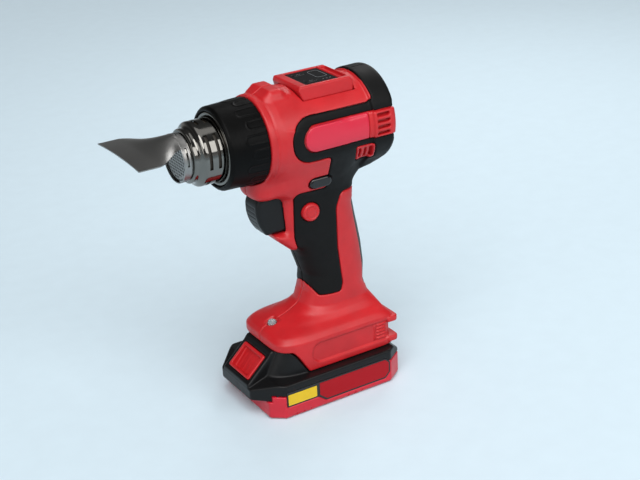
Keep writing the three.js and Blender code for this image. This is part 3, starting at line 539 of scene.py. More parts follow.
BARREL = outline(  # (x, radius), turned about the axis
    (-34.3, -20, 0), (-34.3, 29.3, 1), (-29.8, 29.4, 0.6), (-29.4, 28.8, 0), (-28.9, 29.8, 0.5),
    (-24, 30.5, 4), (40, 30.4, 0.4), (41, 32.4, 0.7), (54.6, 32.6, 3.4), (57.2, 31.6, 1.6), (57.2, -20, 0))
HUMP = outline(
    (-28.6, 205, 0), (-28.6, 216, 1.5), (-24, 219.9, 2), (-15.6, 219.9, 2.5), (-12, 216.6, 3), (-8, 214, 0),
    (-8, 205, 0))
BORE = outline(
    (-FAR, -20, 0), (-FAR, 24.6, 0), (-32.2, 24.6, 0), (-32.2, 27.4, 0), (51.5, 27.4, 0),
    (51.5, 25.6, 0), (FAR, 25.6, 0), (FAR, -20, 0))
GUARD_ROOM = outline((-FAR, -20, 0), (-FAR, 28.7, 0), (-34.5, 28.7, 0), (-34.5, -20, 0))
CHIN = outline((-41.6, 170, 0), (-41.6, 147.6, 6), (-16, 147.6, 0), (-16, 170, 0))
CHIN_PLAN = outline((-41.6, -15.4, 12), (20, -15.4, 0), (20, 15.4, 0), (-41.6, 15.4, 12))
LIP_PLAN = outline((20, -31, 0), (55.4, -31, 3.5), (55.4, 31, 3.5), (20, 31, 0))
LIP = outline((-26.4, 120.8, 1), (-25, 117, 3), (-14, 107, 6), (0, 107, 0), (0, 120.8, 0))
WEB = outline(
    (31, 136, 0), (34.2, 148.4, 6), (40, 152.2, 6), (48, 154.4, 5), (52.8, 158, 3), (52.8, 166, 0),
    (8, 166, 0), (8, 136, 0))
ARCH = outline(
    (-FAR, 10, 0), (-17.1, 10, 0), (-17.1, FOOT_BOTTOM, 0), (-24.1, 37.8, 4), (-28, 42.4, 4), (-FAR, 42.4, 0))
SOFT = outline(
    (40, 232, 0), (41.6, 212, 0), (42.5, 202.9, 4.2), (-19.6, 203.4, 15), (-19.6, 173, 14.8),
    (9.6, 173, 3), (9.6, 149.4, 2), (-13.4, 149.4, 5), (-13.4, 117, 8), (-8.4, 100, 30), (-1.4, 77, 8),
    (2.4, 70.6, 2.5), (17.8, 70.6, 2.5), (19.8, 77, 8), (17.2, 104, 30), (17.2, 132, 12), (21.4, 142.6, 5),
    (FAR, 142.6, 0), (FAR, 232, 0))
BADGE = outline((FAR, 197.2, 0), (-10.6, 197.2, 8.79), (-10.6, 179.6, 8.79), (FAR, 179.6, 0))
VENT_PLATE = outline((28.4, 175.2, 1.2), (31.4, 163.6, 1.2), (44.6, 163.6, 1.2), (41.6, 175.2, 1.2))
PAD = outline(
    (30.4, 137.4, 2), (31.2, 112, 20), (33.8, 72, 3), (36.4, 67.4, 2.4), (60, 67.4, 0), (60, 137.4, 0))
PAD_HALF = 12.6
PANEL = outline((47.3, 45, 3), (-14.3, 45, 7.3), (-14.3, 30.3, 7.3), (47.3, 30.3, 3))
BADGE_END = 37.6
TRIGGER_HALF = 8.9
LOCK = (-2.5, 134.5, 6.3)  # x, z, radius
SELECTOR = (3.8, 155.2, 8.2, 3.7)  # x, z, half length, radius
SCREWS = (  # x, z, depth of the head's seat from the middle plane
    (-35, 153.8, 9.5), (26, 152.8, 12), (22.5, 118, 12), (24, 78, 12), (-13, 44.6, 20.5), (41, 44.6, 20.5))
SCREW_HOLE = Sizes(head=3.3, shank=1.8, boss=4.8, past_middle=9)
LIGHT = Sizes(x=-27.5, hole=3.3, rim=53.6, fall=0.2, depth=43, above=64)
LIP_LEVELS = ((42.4, 46.6), (27.2, 31.4))
LIP_FRONT, GROOVE_FRONT, GROOVE_DEPTH = 46.6, 47.2, 2.4
MOAT_DEPTH, MOAT_WIDTH = 0.9, 3.2
RAIL = Sizes(neck=17.2, flange=20.9, step=29.8, top=34.9, end=38.5)
CONTACTS = Sizes(half=13.4, front=38.4, rear=44.9)
TAIL_SLOTS = Sizes(heights=(182.2, 186.3, 190.4, 194.4), front=43.7, rear=51.4, r=1.05, depth=3.2)
SLANT_SLOTS = Sizes(x=(32.6, 36.6, 40.6), lean=0.24, middle=169.4, half=0.8, foot=165.3,
                    top=173.5, depth=2.2)
PANEL_DEPTH = 1.2
PANEL_RIBS = Sizes(heights=(32.8, 35.3, 37.8, 40.3, 42.8), front=38.4, rear=45, r=0.5)
PANEL_POST = Sizes(x=36, half=0.4, middle=37.6, reach=5.4)
UNDER_ROOM = 20  # a height below the foot, from which rooms are cut
FOOT_FLOOR = 37.4  # lowest point of the casing's hollow
BADGE_THICK = 1.1


def section(grid, column):
    """One column of the grip's table at each height of the grid, with its corners eased."""
    step, soft, margin = 0.1, 0.6, 8
    fine = np.arange(GRIP[0, 0] - margin, GRIP[-1, 0] + margin, step)
    reach = np.arange(-4 * soft, 4 * soft + step, step)
    bell = np.exp(-0.5 * (reach / soft) ** 2)
    eased = np.convolve(np.pad(np.interp(fine, GRIP[:, 0], GRIP[:, column]), len(bell), "edge"),
                        bell / bell.sum(), "same")[len(bell):-len(bell)]
    return np.interp(grid.z, fine, eased).astype(np.float32)


def oval(grid, front, back, width, square, rear):
    """Distance from a plan whose front and rear halves are superellipses."""
    middle = (front + back) / 2
    square = np.where(grid.x > middle, rear, square)
    reach = (back - front) / 2
    u = np.abs(grid.x - middle) / reach
    v = np.abs(grid.y) / width
    size = np.maximum(u ** square + v ** square, 1e-4) ** (1 / square)
    slope = size ** (1 - square) * np.hypot(u ** (square - 1) / reach, v ** (square - 1) / width)
    return (size - 1) / np.maximum(slope, 0.02)


def grip_body(grid):
    columns = (section(grid, column) for column in range(1, GRIP.shape[1]))
    return np.maximum(oval(grid, *columns), grid.z - GRIP_TOP)


def rear_lips(grid):
    """Two square-cornered lips round the back of the foot."""
    levels = np.minimum(*(slab(grid.z, low, high) for low, high in LIP_LEVELS))
    return both(both(plan(grid, LIP_PLAN), levels, 1), LIP_FRONT - grid.x, 1)


def casing(grid):
    """The outside of the whole casing, before its openings and covers."""
    across = np.abs(grid.y)
    body = either(grip_body(grid), turned(grid, BARREL), 3)
    added = (  # side outline, width, edge, fillet
        (HUMP, across - 14, 5, 2), (WEB, across - 14, 5, 6), (CHIN, plan(grid, CHIN_PLAN), 5, 6),
        (LIP, across - 13.4, 4.5, 3))
    for shape, width, edge, fillet in added:
        body = either(body, both(side(grid, shape), width, edge), fillet)
    body = even(body, grid)
    body = without(body, side(grid, ARCH), 0.7)
    return both(body, FOOT_BOTTOM - grid.z, 0.5)


def cover_region(grid):
    """The side outline of the soft cover, with the badge's strip and the small vent plate left out."""
    return np.maximum(side(grid, SOFT), np.maximum(-side(grid, BADGE), -side(grid, VENT_PLATE)))


def moat(grid):
    """How far the soft cover dips beside the badge, as a height over the side view."""
    away = np.maximum(side(grid, BADGE), 0)
    return MOAT_DEPTH * np.exp(-((away / MOAT_WIDTH) ** 2)) * (side(grid, SOFT) < 4)


def pad_region(grid):
    """Where the palm pad is let into the back of the grip."""
    return np.maximum(side(grid, PAD), np.abs(grid.y) - PAD_HALF)


def rail_room(grid):
    """The battery's rail slots under the foot, and the room for its contacts."""
    across = np.abs(grid.y)
    neck = np.maximum(across - RAIL.neck, slab(grid.z, UNDER_ROOM, RAIL.step))
    flange = np.maximum(across - RAIL.flange, slab(grid.z, RAIL.step - GAP, RAIL.top))
    rails = np.maximum(np.minimum(neck, flange), grid.x - RAIL.end)
    contacts = np.maximum(across - CONTACTS.half, slab(grid.x, CONTACTS.front, CONTACTS.rear))
    return np.minimum(rails, np.maximum(contacts, slab(grid.z, UNDER_ROOM, RAIL.top)))


def light_room(grid):
    """The dish on the foot for the work light, with the hole for its lens."""
    ahead = grid.x - LIGHT.x
    dish = both(both(slab(ahead, -4.6, 4.4), np.abs(grid.y) - 4.8, 2.2),
                LIGHT.rim - grid.z + LIGHT.fall * ahead, 1)
    hole = np.maximum(rod(grid.x, grid.y, LIGHT.x, 0, LIGHT.hole), LIGHT.depth - grid.z)
    return np.maximum(np.minimum(dish, hole), grid.z - LIGHT.above)


def controls_room(grid, left):
    """The openings for the trigger and the selector, and on the left for the lock button."""
    across = np.abs(grid.y)
    finger = both(both(slab(grid.z, 121, 148.4), across - TRIGGER_HALF - 0.5, 1.6), grid.x - 3)
    x, z, half, r = SELECTOR
    room = np.minimum(finger, capsule(grid.x, grid.z, x - half + r, x + half - r, z, r + 0.35))
    if left:
        x, z, r = LOCK
        room = np.minimum(room, np.maximum(rod(grid.x, grid.z, x, z, r + 0.35), grid.y + 5))
    return room


def vents(grid, body):
    """Four level slots on the tail and three slanted ones below the barrel, sunk into the wall."""
    tail = np.float32(FAR)
    for z in TAIL_SLOTS.heights:
        slot = capsule(grid.x, grid.z, TAIL_SLOTS.front, TAIL_SLOTS.rear, z, TAIL_SLOTS.r)
        tail = np.minimum(tail, slot)
    slanted = np.float32(FAR)
    for x in SLANT_SLOTS.x:
        lean = SLANT_SLOTS.lean * (grid.z - SLANT_SLOTS.middle)
        across = np.abs(grid.x - x + lean) - SLANT_SLOTS.half
        slot = both(across, slab(grid.z, SLANT_SLOTS.foot, SLANT_SLOTS.top), 0.6)
        slanted = np.minimum(slanted, slot)
    return np.minimum(np.maximum(tail, -TAIL_SLOTS.depth - body),
                      np.maximum(slanted, -SLANT_SLOTS.depth - body))


def screw_rooms(grid):
    """The right half's screw holes, on the grid of the left half."""
    inwards = -grid.y
    room = np.float32(FAR)
    for x, z, head in SCREWS:
        hole = np.maximum(rod(grid.x, grid.z, x, z, SCREW_HOLE.head), head - inwards)
        shank = np.maximum(rod(grid.x, grid.z, x, z, SCREW_HOLE.shank),
                           -SCREW_HOLE.past_middle - inwards)
        room = np.minimum(room, np.minimum(hole, shank))
    return room


def raised(rib):
    """The share of a sunk panel's depth that is left beside a rib: 0 on it and 1 away from it."""
    return np.clip(0.5 + rib / 0.7, 0, 1)


def foot_relief(grid):
    """How deep the side panel is sunk, with its short ribs and the post before them left standing."""
    depth = PANEL_DEPTH * np.clip(0.5 - side(grid, PANEL) / 0.4, 0, 1)
    for z in PANEL_RIBS.heights:
        rib = capsule(grid.x, grid.z, PANEL_RIBS.front, PANEL_RIBS.rear, z, PANEL_RIBS.r)
        depth = depth * raised(rib)
    post = np.maximum(np.abs(grid.x - PANEL_POST.x) - PANEL_POST.half,
                      np.abs(grid.z - PANEL_POST.middle) - PANEL_POST.reach)
    return depth * raised(post) * (np.abs(grid.y) > 26)


def rear_recess(grid, body):
    """The groove between the foot's two rear lips, which runs round its corners."""
    levels = slab(grid.z, LIP_LEVELS[1][1], LIP_LEVELS[0][0])
    return both(both(levels, GROOVE_FRONT - grid.x, 0.8), -GROOVE_DEPTH - body, 0.8)


def casing_half(grid, body, left):
    """One housing half (negative inside), from the casing's field."""
    relief = body + foot_relief(grid)
    relief = either(without(relief, rear_recess(grid, body), 0.5), rear_lips(grid), 0.4)
    under_cover = -(body + SKIN + GAP)
    half = without(relief, np.maximum(cover_region(grid) - GAP / 2, under_cover), 0.55)
    badge = np.maximum(side(grid, BADGE), grid.x - BADGE_END) - GAP / 2
    half = without(half, np.maximum(badge, -(body + BADGE_THICK + 0.1)), 0.4)
    half = without(half, np.maximum(pad_region(grid) - GAP / 2, under_cover), 0.5)
    bosses = np.float32(FAR)
    for x, z, _ in SCREWS:
        bosses = np.minimum(bosses, rod(grid.x, grid.z, x, z, SCREW_HOLE.boss))
    hollow = without(np.maximum(body + WALL + 1.2, FOOT_FLOOR - grid.z), bosses)
    half = without(half, np.minimum(turned(grid, BORE), hollow))
    for room in (rail_room(grid), light_room(grid), controls_room(grid, left), vents(grid, body)):
        half = without(half, room, 0.35)
    if not left:
        half = without(half, screw_rooms(grid), 0.3)
    half = without(half, display_room(grid), 0.4)
    return without(half, turned(grid, GUARD_ROOM))


def cover_half(grid, body, left):
    """One half of the soft cover."""
    region = np.maximum(cover_region(grid) + GAP / 2, GAP - pad_region(grid))
    half = both(body + moat(grid), region, 0.9)
    half = without(half, body + SKIN)
    half = without(half, controls_room(grid, left), 0.5)
    half = without(half, turned(grid, BORE))
    if not left:
        half = without(half, screw_rooms(grid), 0.4)
    return half


def badge_half(grid, body):
    """One side's badge plate, with a fine line sunk all round just inside its edge."""
    strip = np.maximum(side(grid, BADGE) + GAP / 2, grid.x - BADGE_END)
    plate_field = both(body + 0.1, strip, 0.6)
    line = np.abs(side(grid, BADGE) + 1.5) - 0.3
    groove = 0.3 * np.clip(0.5 - line / 0.6, 0, 1)
    return without(plate_field + groove * (grid.x < BADGE_END - 2), body + BADGE_THICK)


def build_casing():
    grid = Grid((-46.4, -35, 23.6), (59, 0.8, 221.6), 0.6)
    body = casing(grid)
    seam = grid.y + 0.12
    for word, left in (("left", True), ("right", False)):
        shapes = {
            "housing": (casing_half(grid, body, left), "casing_red", 0.4, 0.45),
            "overmould": (cover_half(grid, body, left), "soft_black", 0.4, 0.5),
            "badge": (badge_half(grid, body), "badge_red", 0.2, 0.4),
        }
        for part, (field, look, edge, keep) in shapes.items():
            piece = moulded(f"{part}_shell_{word}", both(field, seam, edge), grid, keep, mirror=not left)
            finish(piece, look, "housing", f"{part}_{word}")
    grid = Grid((28, -14.4, 65), (48, 14.4, 140), 0.5)
    pad = pad_region(grid)
    body = casing(grid)
    pillow = 0.5 * np.clip(-pad / 4, 0, 1)
    field = without(both(body + 0.5 - pillow, pad, 1.2), body + SKIN)
    finish(moulded("palm_pad", field, grid, 0.6), "pad_grey", "housing", "grip_pad")


# ---------------------------------------------------------------- display

DISPLAY_SIDE = outline(
    (-3.4, 209.3, 0), (-6, 217, 1), (-5.2, 219.8, 0.9), (32.4, 219.8, 1.6), (34.4, 216.6, 1.4),
    (34.4, 209.3, 0))
DISPLAY_HALF = 18.2
WINDOW = (1.3, 25.6, 14.0, 219.3)  # front, rear, half width, top
KEYS = Sizes(front=4.5, rear=12.5, half=2.0, off_centre=8, foot=217.2, height=2.3)
PRINT = 0.06  # thickness of a printed mark


def display_room(grid):
    """The seat for the display's frame on top of the casing."""
    across = np.abs(grid.y) - DISPLAY_HALF
    return np.maximum(np.maximum(side(grid, DISPLAY_SIDE), across) - 0.4, 209 - grid.z)


def display_frame():
    """The raised red frame, with the window let into it and a scoop behind the window."""
    grid = Grid((-7.2, -19.4, 208.2), (35.6, 19.4, 221), 0.4)
    across = np.abs(grid.y) - DISPLAY_HALF
    plan_shape = both(slab(grid.x, -6, 34.4), across, 2.6)
    body = both(both(side(grid, DISPLAY_SIDE), across + 0.12 * (grid.z - 209.3), 1.3), plan_shape)
    body = without(body, np.hypot(grid.y, grid.z - AXIS_Z) - 27.9)
    front, rear, half, _ = WINDOW
    width = np.abs(grid.y) - half
    body = without(body, both(slab(grid.x, front - 0.4, rear + 0.4), width - 0.4, 0.8), 0.5)
    scoop = both(both(slab(grid.x, 27.4, 32), width + 0.2, 0.8), 217.6 - grid.z, 0.5)
    body = without(body, scoop, 0.4)
    groove = np.maximum(np.abs(grid.z - 210.2) - 0.25, -0.3 - body)
    frame_piece = moulded("display_frame", without(body, groove), grid, 0.5)
    finish(frame_piece, "casing_red", "housing", "display_cover")


def rounded_box(a0, b0, a1, b1, r):
    return outline((a0, b0, r), (a1, b0, r), (a1, b1, r), (a0, b1, r))


def with_prints(name, piece, prints):
    """A gloss black piece and the grey marks printed on it, as one object."""
    piece.data.materials.append(LOOKS["gloss_black"])
    for mark in prints:
        mark.data.materials.append(LOOKS["print_grey"])
    return joined(name, piece, *prints)


def level(z):
    """Plan view at height z: local (x, y) is the row's (x, y), and local Z is up."""
    return frame_of((0, 0, z), (1, 0, 0), (0, 1, 0))


def display_glass():
    """The window, with holes for its two keys, a blank digit frame and three small marks."""
    front, rear, half, top = WINDOW
    reach = KEYS.half + GAP
    holes = [rounded_box(KEYS.front - GAP, y - reach, KEYS.rear + GAP, y + reach, 1.5)
             for y in (-KEYS.off_centre, KEYS.off_centre)]
    glass = plate("glass", [rounded_box(front, -half, rear, half, 1)] + holes, 1, level(top - 1.1), 0.15)
    ring = [rounded_box(15.4, -4.6, 23.4, 10, 2.4), rounded_box(15.8, -4.2, 23, 9.6, 2)]
    prints = [plate("digit_frame", ring, PRINT, level(top - 0.1))]
    for x in (16.2, 18.8, 21.4):
        mark = rounded_box(x, -9.4, x + 1.4, -8.9, 0.2)
        prints.append(plate("mark", [mark], PRINT, level(top - 0.1)))
    window = with_prints("display_glass", glass, prints)
    finish(window, None, "housing", "display_window")


def display_key(name, node, y, plus):
    """A key with a minus printed on it, or a plus. Its body is named like its node."""
    cap_outline = rounded_box(KEYS.front, y - KEYS.half, KEYS.rear, y + KEYS.half, 1.2)
    cap = plate(name, [cap_outline], KEYS.height, level(KEYS.foot), 0.25)
    top = KEYS.foot + KEYS.height - 0.05
    marks = [plate("bar", [rounded_box(7, y - 0.25, 10, y + 0.25, 0.1)], PRINT, level(top))]
    if plus:
        marks.append(plate("stem", [rounded_box(8.25, y - 1.3, 8.75, y + 1.3, 0.1)], 0.05, level(top)))
    finish(with_prints(name, cap, marks), None, node, node)


def build_display():
    display_frame()
    display_glass()
    display_key("plus_cap", "key_plus", KEYS.off_centre, True)
    display_key("minus_cap", "key_minus", -KEYS.off_centre, False)


# ---------------------------------------------------------------- hot end and tail

GUARD = outline(
    (-32.5, 22.4, 0), (-32.5, 24.3, 0), (-34.7, 24.3, 0), (-34.7, 28.1, 0.3), (-60.2, 27.3, 1.4),
    (-61.8, 25.8, 0.8), (-61.8, 24.3, 0.3), (-52, 24.3, 0), (-52, 22.4, 0))
SLOT_ROWS = ((-67.5, -65.3), (-73.5, -71.3))
SLOT_FIRST = 163.5  # degrees, of the first slot's middle, from +Y towards +Z
SLOT_SWEEP, SLEEVE_SWEEP = 62, 46  # degrees
TUBE = (
    (-31, 27), (-31.9, 27), (-31.9, 21.6), (-32.6, 20.9), (-58, 20.9), (-65.3, 20.9), (-67.5, 20.9),
    (-71.3, 20.9), (-73.5, 20.9), (-75, 20.9), (-76, 20.7), (-76.8, 20), (-77.3, 18.9), (-77.9, 18),
    (-78.8, 17.5), (-79.8, 17.4), (-80.6, 17.6), (-81.3, 17.5), (-81.9, 16.9), (-82.1, 15.9), (-82.5, 14.9),
    (-83.2, 14.55), (-86.6, 14.55), (-87.1, 14.2), (-87.2, 13.8))
SLEEVE = (
    (-83, 15.1), (-83.1, 15.6), (-83.4, 15.8), (-84.6, 15.75), (-86, 15.75), (-87.4, 15.8), (-87.9, 15.85),
    (-88.2, 15.65), (-88.2, 15.1))
BLADE = Sizes(root=-87.0, flat=-112.0, tip=-124.5, z=198.1, half=30.5, angle=52.0, r=15.7)
SHEET = 0.7  # thickness of the nozzle's steel
RIM = (  # the outlet's rolled rim
    (-56, 21.3), (-56, 24), (-60, 24), (-60.7, 23.9), (-61.2, 23.6), (-61.5, 23.1), (-61.6, 22.5),
    (-61.5, 22), (-61.2, 21.6), (-60.8, 21.3))
MESH = Sizes(r=13.5, x=-86.9, pitch=2.3, hole=0.8, reach=12.2, thick=0.6)
TAIL_GRILLE = Sizes(r=25.2, x=54.6, thick=2.6, pitch=5.6, half_slot=1.5, reach=21.5)
HEATER = Sizes(r=17, front=-68, length=30, turns=5, wire=0.6)
LOOPS = Sizes(every=20, half=2.9, half_line=0.3, rise=0.4, rear=-34.9, front=-51)


def guard_ring():
    """The heat guard, with thin raised loops round it, long and short by turns."""
    grid = Grid((-63.3, -29.4, 157.4), (-31.7, 29.4, 216.6), 0.45)
    turn = np.degrees(np.arctan2(grid.y, grid.z - AXIS_Z))
    arc = np.radians(turn % LOOPS.every - LOOPS.every / 2) * 28
    even_place = np.floor(turn / LOOPS.every).astype(int) % 2 == 0
    end = np.where(even_place, -47.2, -43.8)
    line = np.abs(np.hypot(grid.x - np.maximum(grid.x, end), arc) - LOOPS.half) - LOOPS.half_line
    rise = LOOPS.rise * np.clip(0.5 - line / 0.6, 0, 1)
    rise = rise * (grid.x < LOOPS.rear) * (grid.x > LOOPS.front)
    ring = moulded("guard_ring", turned(grid, GUARD) - rise, grid, 0.6)
    finish(ring, "guard_black", "housing", "heat_guard")


def walled(obj, thick, outwards):
    """A sheet given its thickness, to its outside (1) or its inside (-1), and welded."""
    solid = obj.modifiers.new("wall", "SOLIDIFY")
    solid.thickness = thick * MM
    solid.offset = outwards
    applied(obj)
    obj.data.transform(Matrix.Scale(1 / MM, 4))
    welded(obj.data)
    obj.data.transform(Matrix.Scale(MM, 4))
    return obj


def sheet_tube(name, profile, rows, sweep, wall):
    """A tube of sheet metal from (x, radius) rows, with slots left out of the given rows."""
    columns = 240
    turns = np.radians(np.arange(columns) * 360 / columns)
    points = [(x, r * math.cos(t), AXIS_Z + r * math.sin(t)) for x, r in profile for t in turns]
    faces = []
    for i, ((xa, _), (xb, _)) in enumerate(zip(profile, profile[1:])):
        slotted = (xb, xa) in rows
        for j in range(columns):
            middle = (j + 0.5) * 360 / columns - SLOT_FIRST
            if slotted and abs((middle + 45) % 90 - 45) < sweep / 2:
                continue
            k = (j + 1) % columns
            faces.append((i * columns + j, i * columns + k, (i + 1) * columns + k, (i + 1) * columns + j))
    return walled(mesh_object(name, np.array(points), np.array(faces)), wall, 1)


def nozzle():
    """The sleeve that pushes on to the outlet, and the blade that flattens from it into a wide tip."""
    sleeve = sheet_tube("sleeve", SLEEVE, ((-86.0, -84.6),), SLEEVE_SWEEP, SHEET)
    rows, columns = 40, 48
    points = []
    for i in range(rows + 1):
        x = BLADE.root + (BLADE.tip - BLADE.root) * i / rows
        share = min(1, (BLADE.root - x) / (BLADE.root - BLADE.flat))
        ease = share * share * (3 - 2 * share)
        for j in range(columns + 1):
            across = 2 * j / columns - 1
            turn = math.radians(BLADE.angle) * across
            arch = 1.4 * across * across * ease
            y = BLADE.r * math.sin(turn) * (1 - ease) + BLADE.half * across * ease
            curved = AXIS_Z + BLADE.r * math.cos(turn)
            points.append((x, y, curved * (1 - ease) + BLADE.z * ease - arch))
    wide = columns + 1
    faces = [(i * wide + j, i * wide + j + 1, (i + 1) * wide + j + 1, (i + 1) * wide + j)
             for i in range(rows) for j in range(columns)]
    blade = walled(mesh_object("blade", np.array(points), np.array(faces)), SHEET, -1)
    finish(joined("spreader_nozzle", sleeve, blade), "satin_steel", "nozzle", "deflector_nozzle")


def outlet_mesh():
    """The round screen, with holes in staggered rows."""
    pitch, row_pitch = MESH.pitch, MESH.pitch * 0.866
    disc = [circle(MESH.r, 96)]
    for i, j in itertools.product(range(-8, 9), range(-8, 9)):
        a, b = (i + 0.5 * (j % 2)) * pitch, j * row_pitch
        if math.hypot(a, b) < MESH.reach:
            disc.append([(a + da, b + db) for da, db in circle(MESH.hole, 8)])
    screen = plate("outlet_mesh", disc, MESH.thick, Matrix.Translation((MESH.x, 0, 0)) @ ALONG_BARREL)
    finish(screen, "satin_steel", "housing", "outlet_screen")


def tail_grille():
    """The disc behind the fan, with seven level slots."""
    tail = [circle(TAIL_GRILLE.r, 96)]
    half = TAIL_GRILLE.half_slot
    for row in range(-3, 4):
        middle = row * TAIL_GRILLE.pitch
        reach = math.sqrt(TAIL_GRILLE.reach ** 2 - middle ** 2)
        tail.append(rounded_box(-reach, middle - half, reach, middle + half, 1.4))
    place = Matrix.Translation((TAIL_GRILLE.x, 0, 0)) @ ALONG_BARREL
    grille = plate("tail_grille", tail, TAIL_GRILLE.thick, place, 0.4)
    finish(grille, "hard_black", "housing", "intake_grille")


def build_hot_end():
    guard_ring()
    rim = lathe("rolled_rim", RIM, ALONG_BARREL, 144)
    finish(rim, "polished_steel", "housing", "outlet_flange")
    tube = sheet_tube("slotted_tube", TUBE, SLOT_ROWS, SLOT_SWEEP, 0.8)
    finish(tube, "polished_steel", "housing", "outlet_tube")
    outlet_mesh()
    nozzle()
    coil = helix(HEATER.r, HEATER.front, HEATER.length, HEATER.turns, 48)
    winding = wire("heater_winding", coil, HEATER.wire, ALONG_BARREL)
    finish(winding, "heater_wire", "housing", "heater_coil")
    tail_grille()


# ---------------------------------------------------------------- controls, screws and springs

TRIGGER_SIDE = outline(
    (-4, 147.9, 0), (-35.4, 147.9, 2), (-37.4, 143.6, 8), (-37.4, 136, 20), (-35.2, 128, 20), (-31, 121.5, 2),
    (-4, 121.5, 0))
TRIGGER_GROOVES = (127.5, 131, 134.5, 138, 141.5)
LOCK_PROFILE = (  # (height, radius) round the button: its dished face, then the bore for its spring
    (0, 0), (0.15, 1.6), (0.1, 3), (-0.25, 3.6), (-0.25, 4), (0.1, 4.5), (0, 5.2), (-0.5, 5.9), (-1.3, 6.3),
    (-8.4, 6.3), (-8.4, 4), (-6.8, 4), (-1.8, 4), (-1.8, 0))
LOCK_FACE_Y = -19.4
LENS = ((47.5, 0), (47.5, 3), (54.2, 3), (54.9, 2.7), (55.4, 2), (55.7, 1), (55.8, 0))
TRIGGER_SPRING = Sizes(z=134.5, front=-13, length=15.6, bore=3.6, bore_end=-14)


def trigger_blade():
    """The trigger, with shallow finger grooves on its front and the bore for its spring."""
    grid = Grid((-38.2, -9.8, 120.6), (-3.2, 9.8, 148.8), 0.4)
    body = both(side(grid, TRIGGER_SIDE), np.abs(grid.y) - TRIGGER_HALF, 2.6)
    for z in TRIGGER_GROOVES:
        groove = np.maximum(np.abs(grid.z - z) - 0.35, np.abs(grid.y) - 5.4)
        body = body + 0.35 * np.clip(0.5 - groove / 0.5, 0, 1) * (grid.x < -30)
    bore = np.maximum(rod(grid.y, grid.z, 0, TRIGGER_SPRING.z, TRIGGER_SPRING.bore),
                      TRIGGER_SPRING.bore_end - grid.x)
    blade = moulded("trigger_blade", without(body, bore), grid, 0.6)
    finish(blade, "hard_black", "trigger", "trigger")


def selector_slide():
    """The round-ended bar right through the casing."""
    x, z, half, r = SELECTOR
    grid = Grid((x - half - 1, -23.6, z - r - 1), (x + half + 1, 22.4, z + r + 1), 0.4)
    bar = capsule(grid.x, grid.z, x - half + r, x + half - r, z, r)
    bar = both(bar, slab(grid.y, -22.9, 21.6), 1.8)
    slide = moulded("selector_slide", bar, grid, 0.6)
    finish(slide, "gloss_black", "selector", "selector_bar")


def build_controls():
    trigger_blade()
    x, z, _ = LOCK
    cap = lathe("lock_cap", LOCK_PROFILE, frame_of((x, LOCK_FACE_Y, z), (1, 0, 0), (0, 0, 1)), 72)
    finish(cap, "casing_red", "lock_button", "lock_button")
    selector_slide()
    lens = lathe("lamp_lens", LENS, frame_of((LIGHT.x, 0, 0), (1, 0, 0), (0, 1, 0)), 48)
    finish(lens, "clear_lens", "housing", "work_light_lens")


def screw(name, node, body, place, head_r, shank_r, length, depth):
    """A pan head with a six-lobed socket, the head's underside at height 0, and its shank below."""
    socket = head_r * 0.5
    lobes = 0.14
    profile = (
        (-length, 0), (-length + 1.5, shank_r * 0.8), (-0.4, shank_r), (0, shank_r), (0, head_r * 0.92),
        (depth * 0.25, head_r), (depth * 0.6, head_r * 0.96), (depth, head_r * 0.72),
        (depth, socket, lobes), (depth * 0.4, socket * 0.95, lobes), (depth * 0.4, 0))
    finish(lathe(name, profile, place, 48), "zinc_steel", body, node)


def spring(name, node, body, place, radius, gauge, length, turns):
    """A coil from place, along its local Z, with a mesh of its own."""
    coil = wire(name, helix(radius, 0, length, turns, 24), gauge, place)
    finish(coil, "zinc_steel", body, node)
    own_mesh(coil)


def build_fixings():
    for i, (x, z, head) in enumerate(SCREWS, 1):
        place = frame_of((x, head + 0.1, z), (-1, 0, 0), (0, 0, 1))
        screw(f"case_bolt_{i}", f"casing_screw_{i}", "housing", place, 2.9, 1.5, head + 8, 2.1)
    half_x, half_y = PACK_SCREW
    for i, (x, y) in enumerate(itertools.product((-half_x, half_x), (-half_y, half_y)), 1):
        place = frame_of((x, y, 2.9), (1, 0, 0), (0, -1, 0))
        screw(f"pack_bolt_{i}", f"pack_screw_{i}", "battery", place, 2, 1.1, 19, 1.7)
    trigger_end = frame_of((TRIGGER_SPRING.front, 0, TRIGGER_SPRING.z), (0, 1, 0), (0, 0, 1))
    spring("trigger_coil", "trigger_spring", "housing", trigger_end, 2.6, 0.4,
           TRIGGER_SPRING.length, 5)
    x, z, _ = LOCK
    lock_end = frame_of((x, -16.6, z), (0, 0, 1), (1, 0, 0))
    spring("lock_coil", "lock_spring", "housing", lock_end, 2.8, 0.4, 6.6, 3)
    latch_end = LATCH_PLACE @ Matrix.Translation((0, 0, -4.95)) @ Matrix.Rotation(math.pi, 4, "X")
    spring("latch_coil", "latch_spring", "battery", latch_end, 2.4, 0.3, 2.1, 1)


# ---------------------------------------------------------------- battery pack

LATCH_X, LATCH_Z, LATCH_SLOPE = -48.7, 31.0, math.radians(43)
LATCH_LONG = (math.cos(LATCH_SLOPE), 0, math.sin(LATCH_SLOPE))
LATCH_PLACE = frame_of((LATCH_X, 0, LATCH_Z), LATCH_LONG, (0, 1, 0))
LATCH = Sizes(half_long=9.75, half=13.6, bottom=-4.6, top=1.1, floor=-7.4)
PACK_HALF = 37.45
PACK_TAIL = ((43.5, -PACK_HALF, 2.5), (55.2, -29.2, 2.5))
PACK_SCREW = (47, 24)  # x and y, each side of the middle
CELLS = Sizes(pitch=18.25, z=11.9, count=5)
CAN = (  # a cell's (height, radius) round its length
    (-32.5, 0), (-32.5, 8.4), (-32.2, 8.9), (-31.6, 9.1), (28.6, 9.1), (29.2, 8.4), (30, 8.4), (30.5, 9),
    (31.6, 9), (31.9, 8.5), (31.9, 5.2), (31.6, 5), (31.6, 3.4), (32.5, 3.1), (32.5, 0))
DECK = 25.2


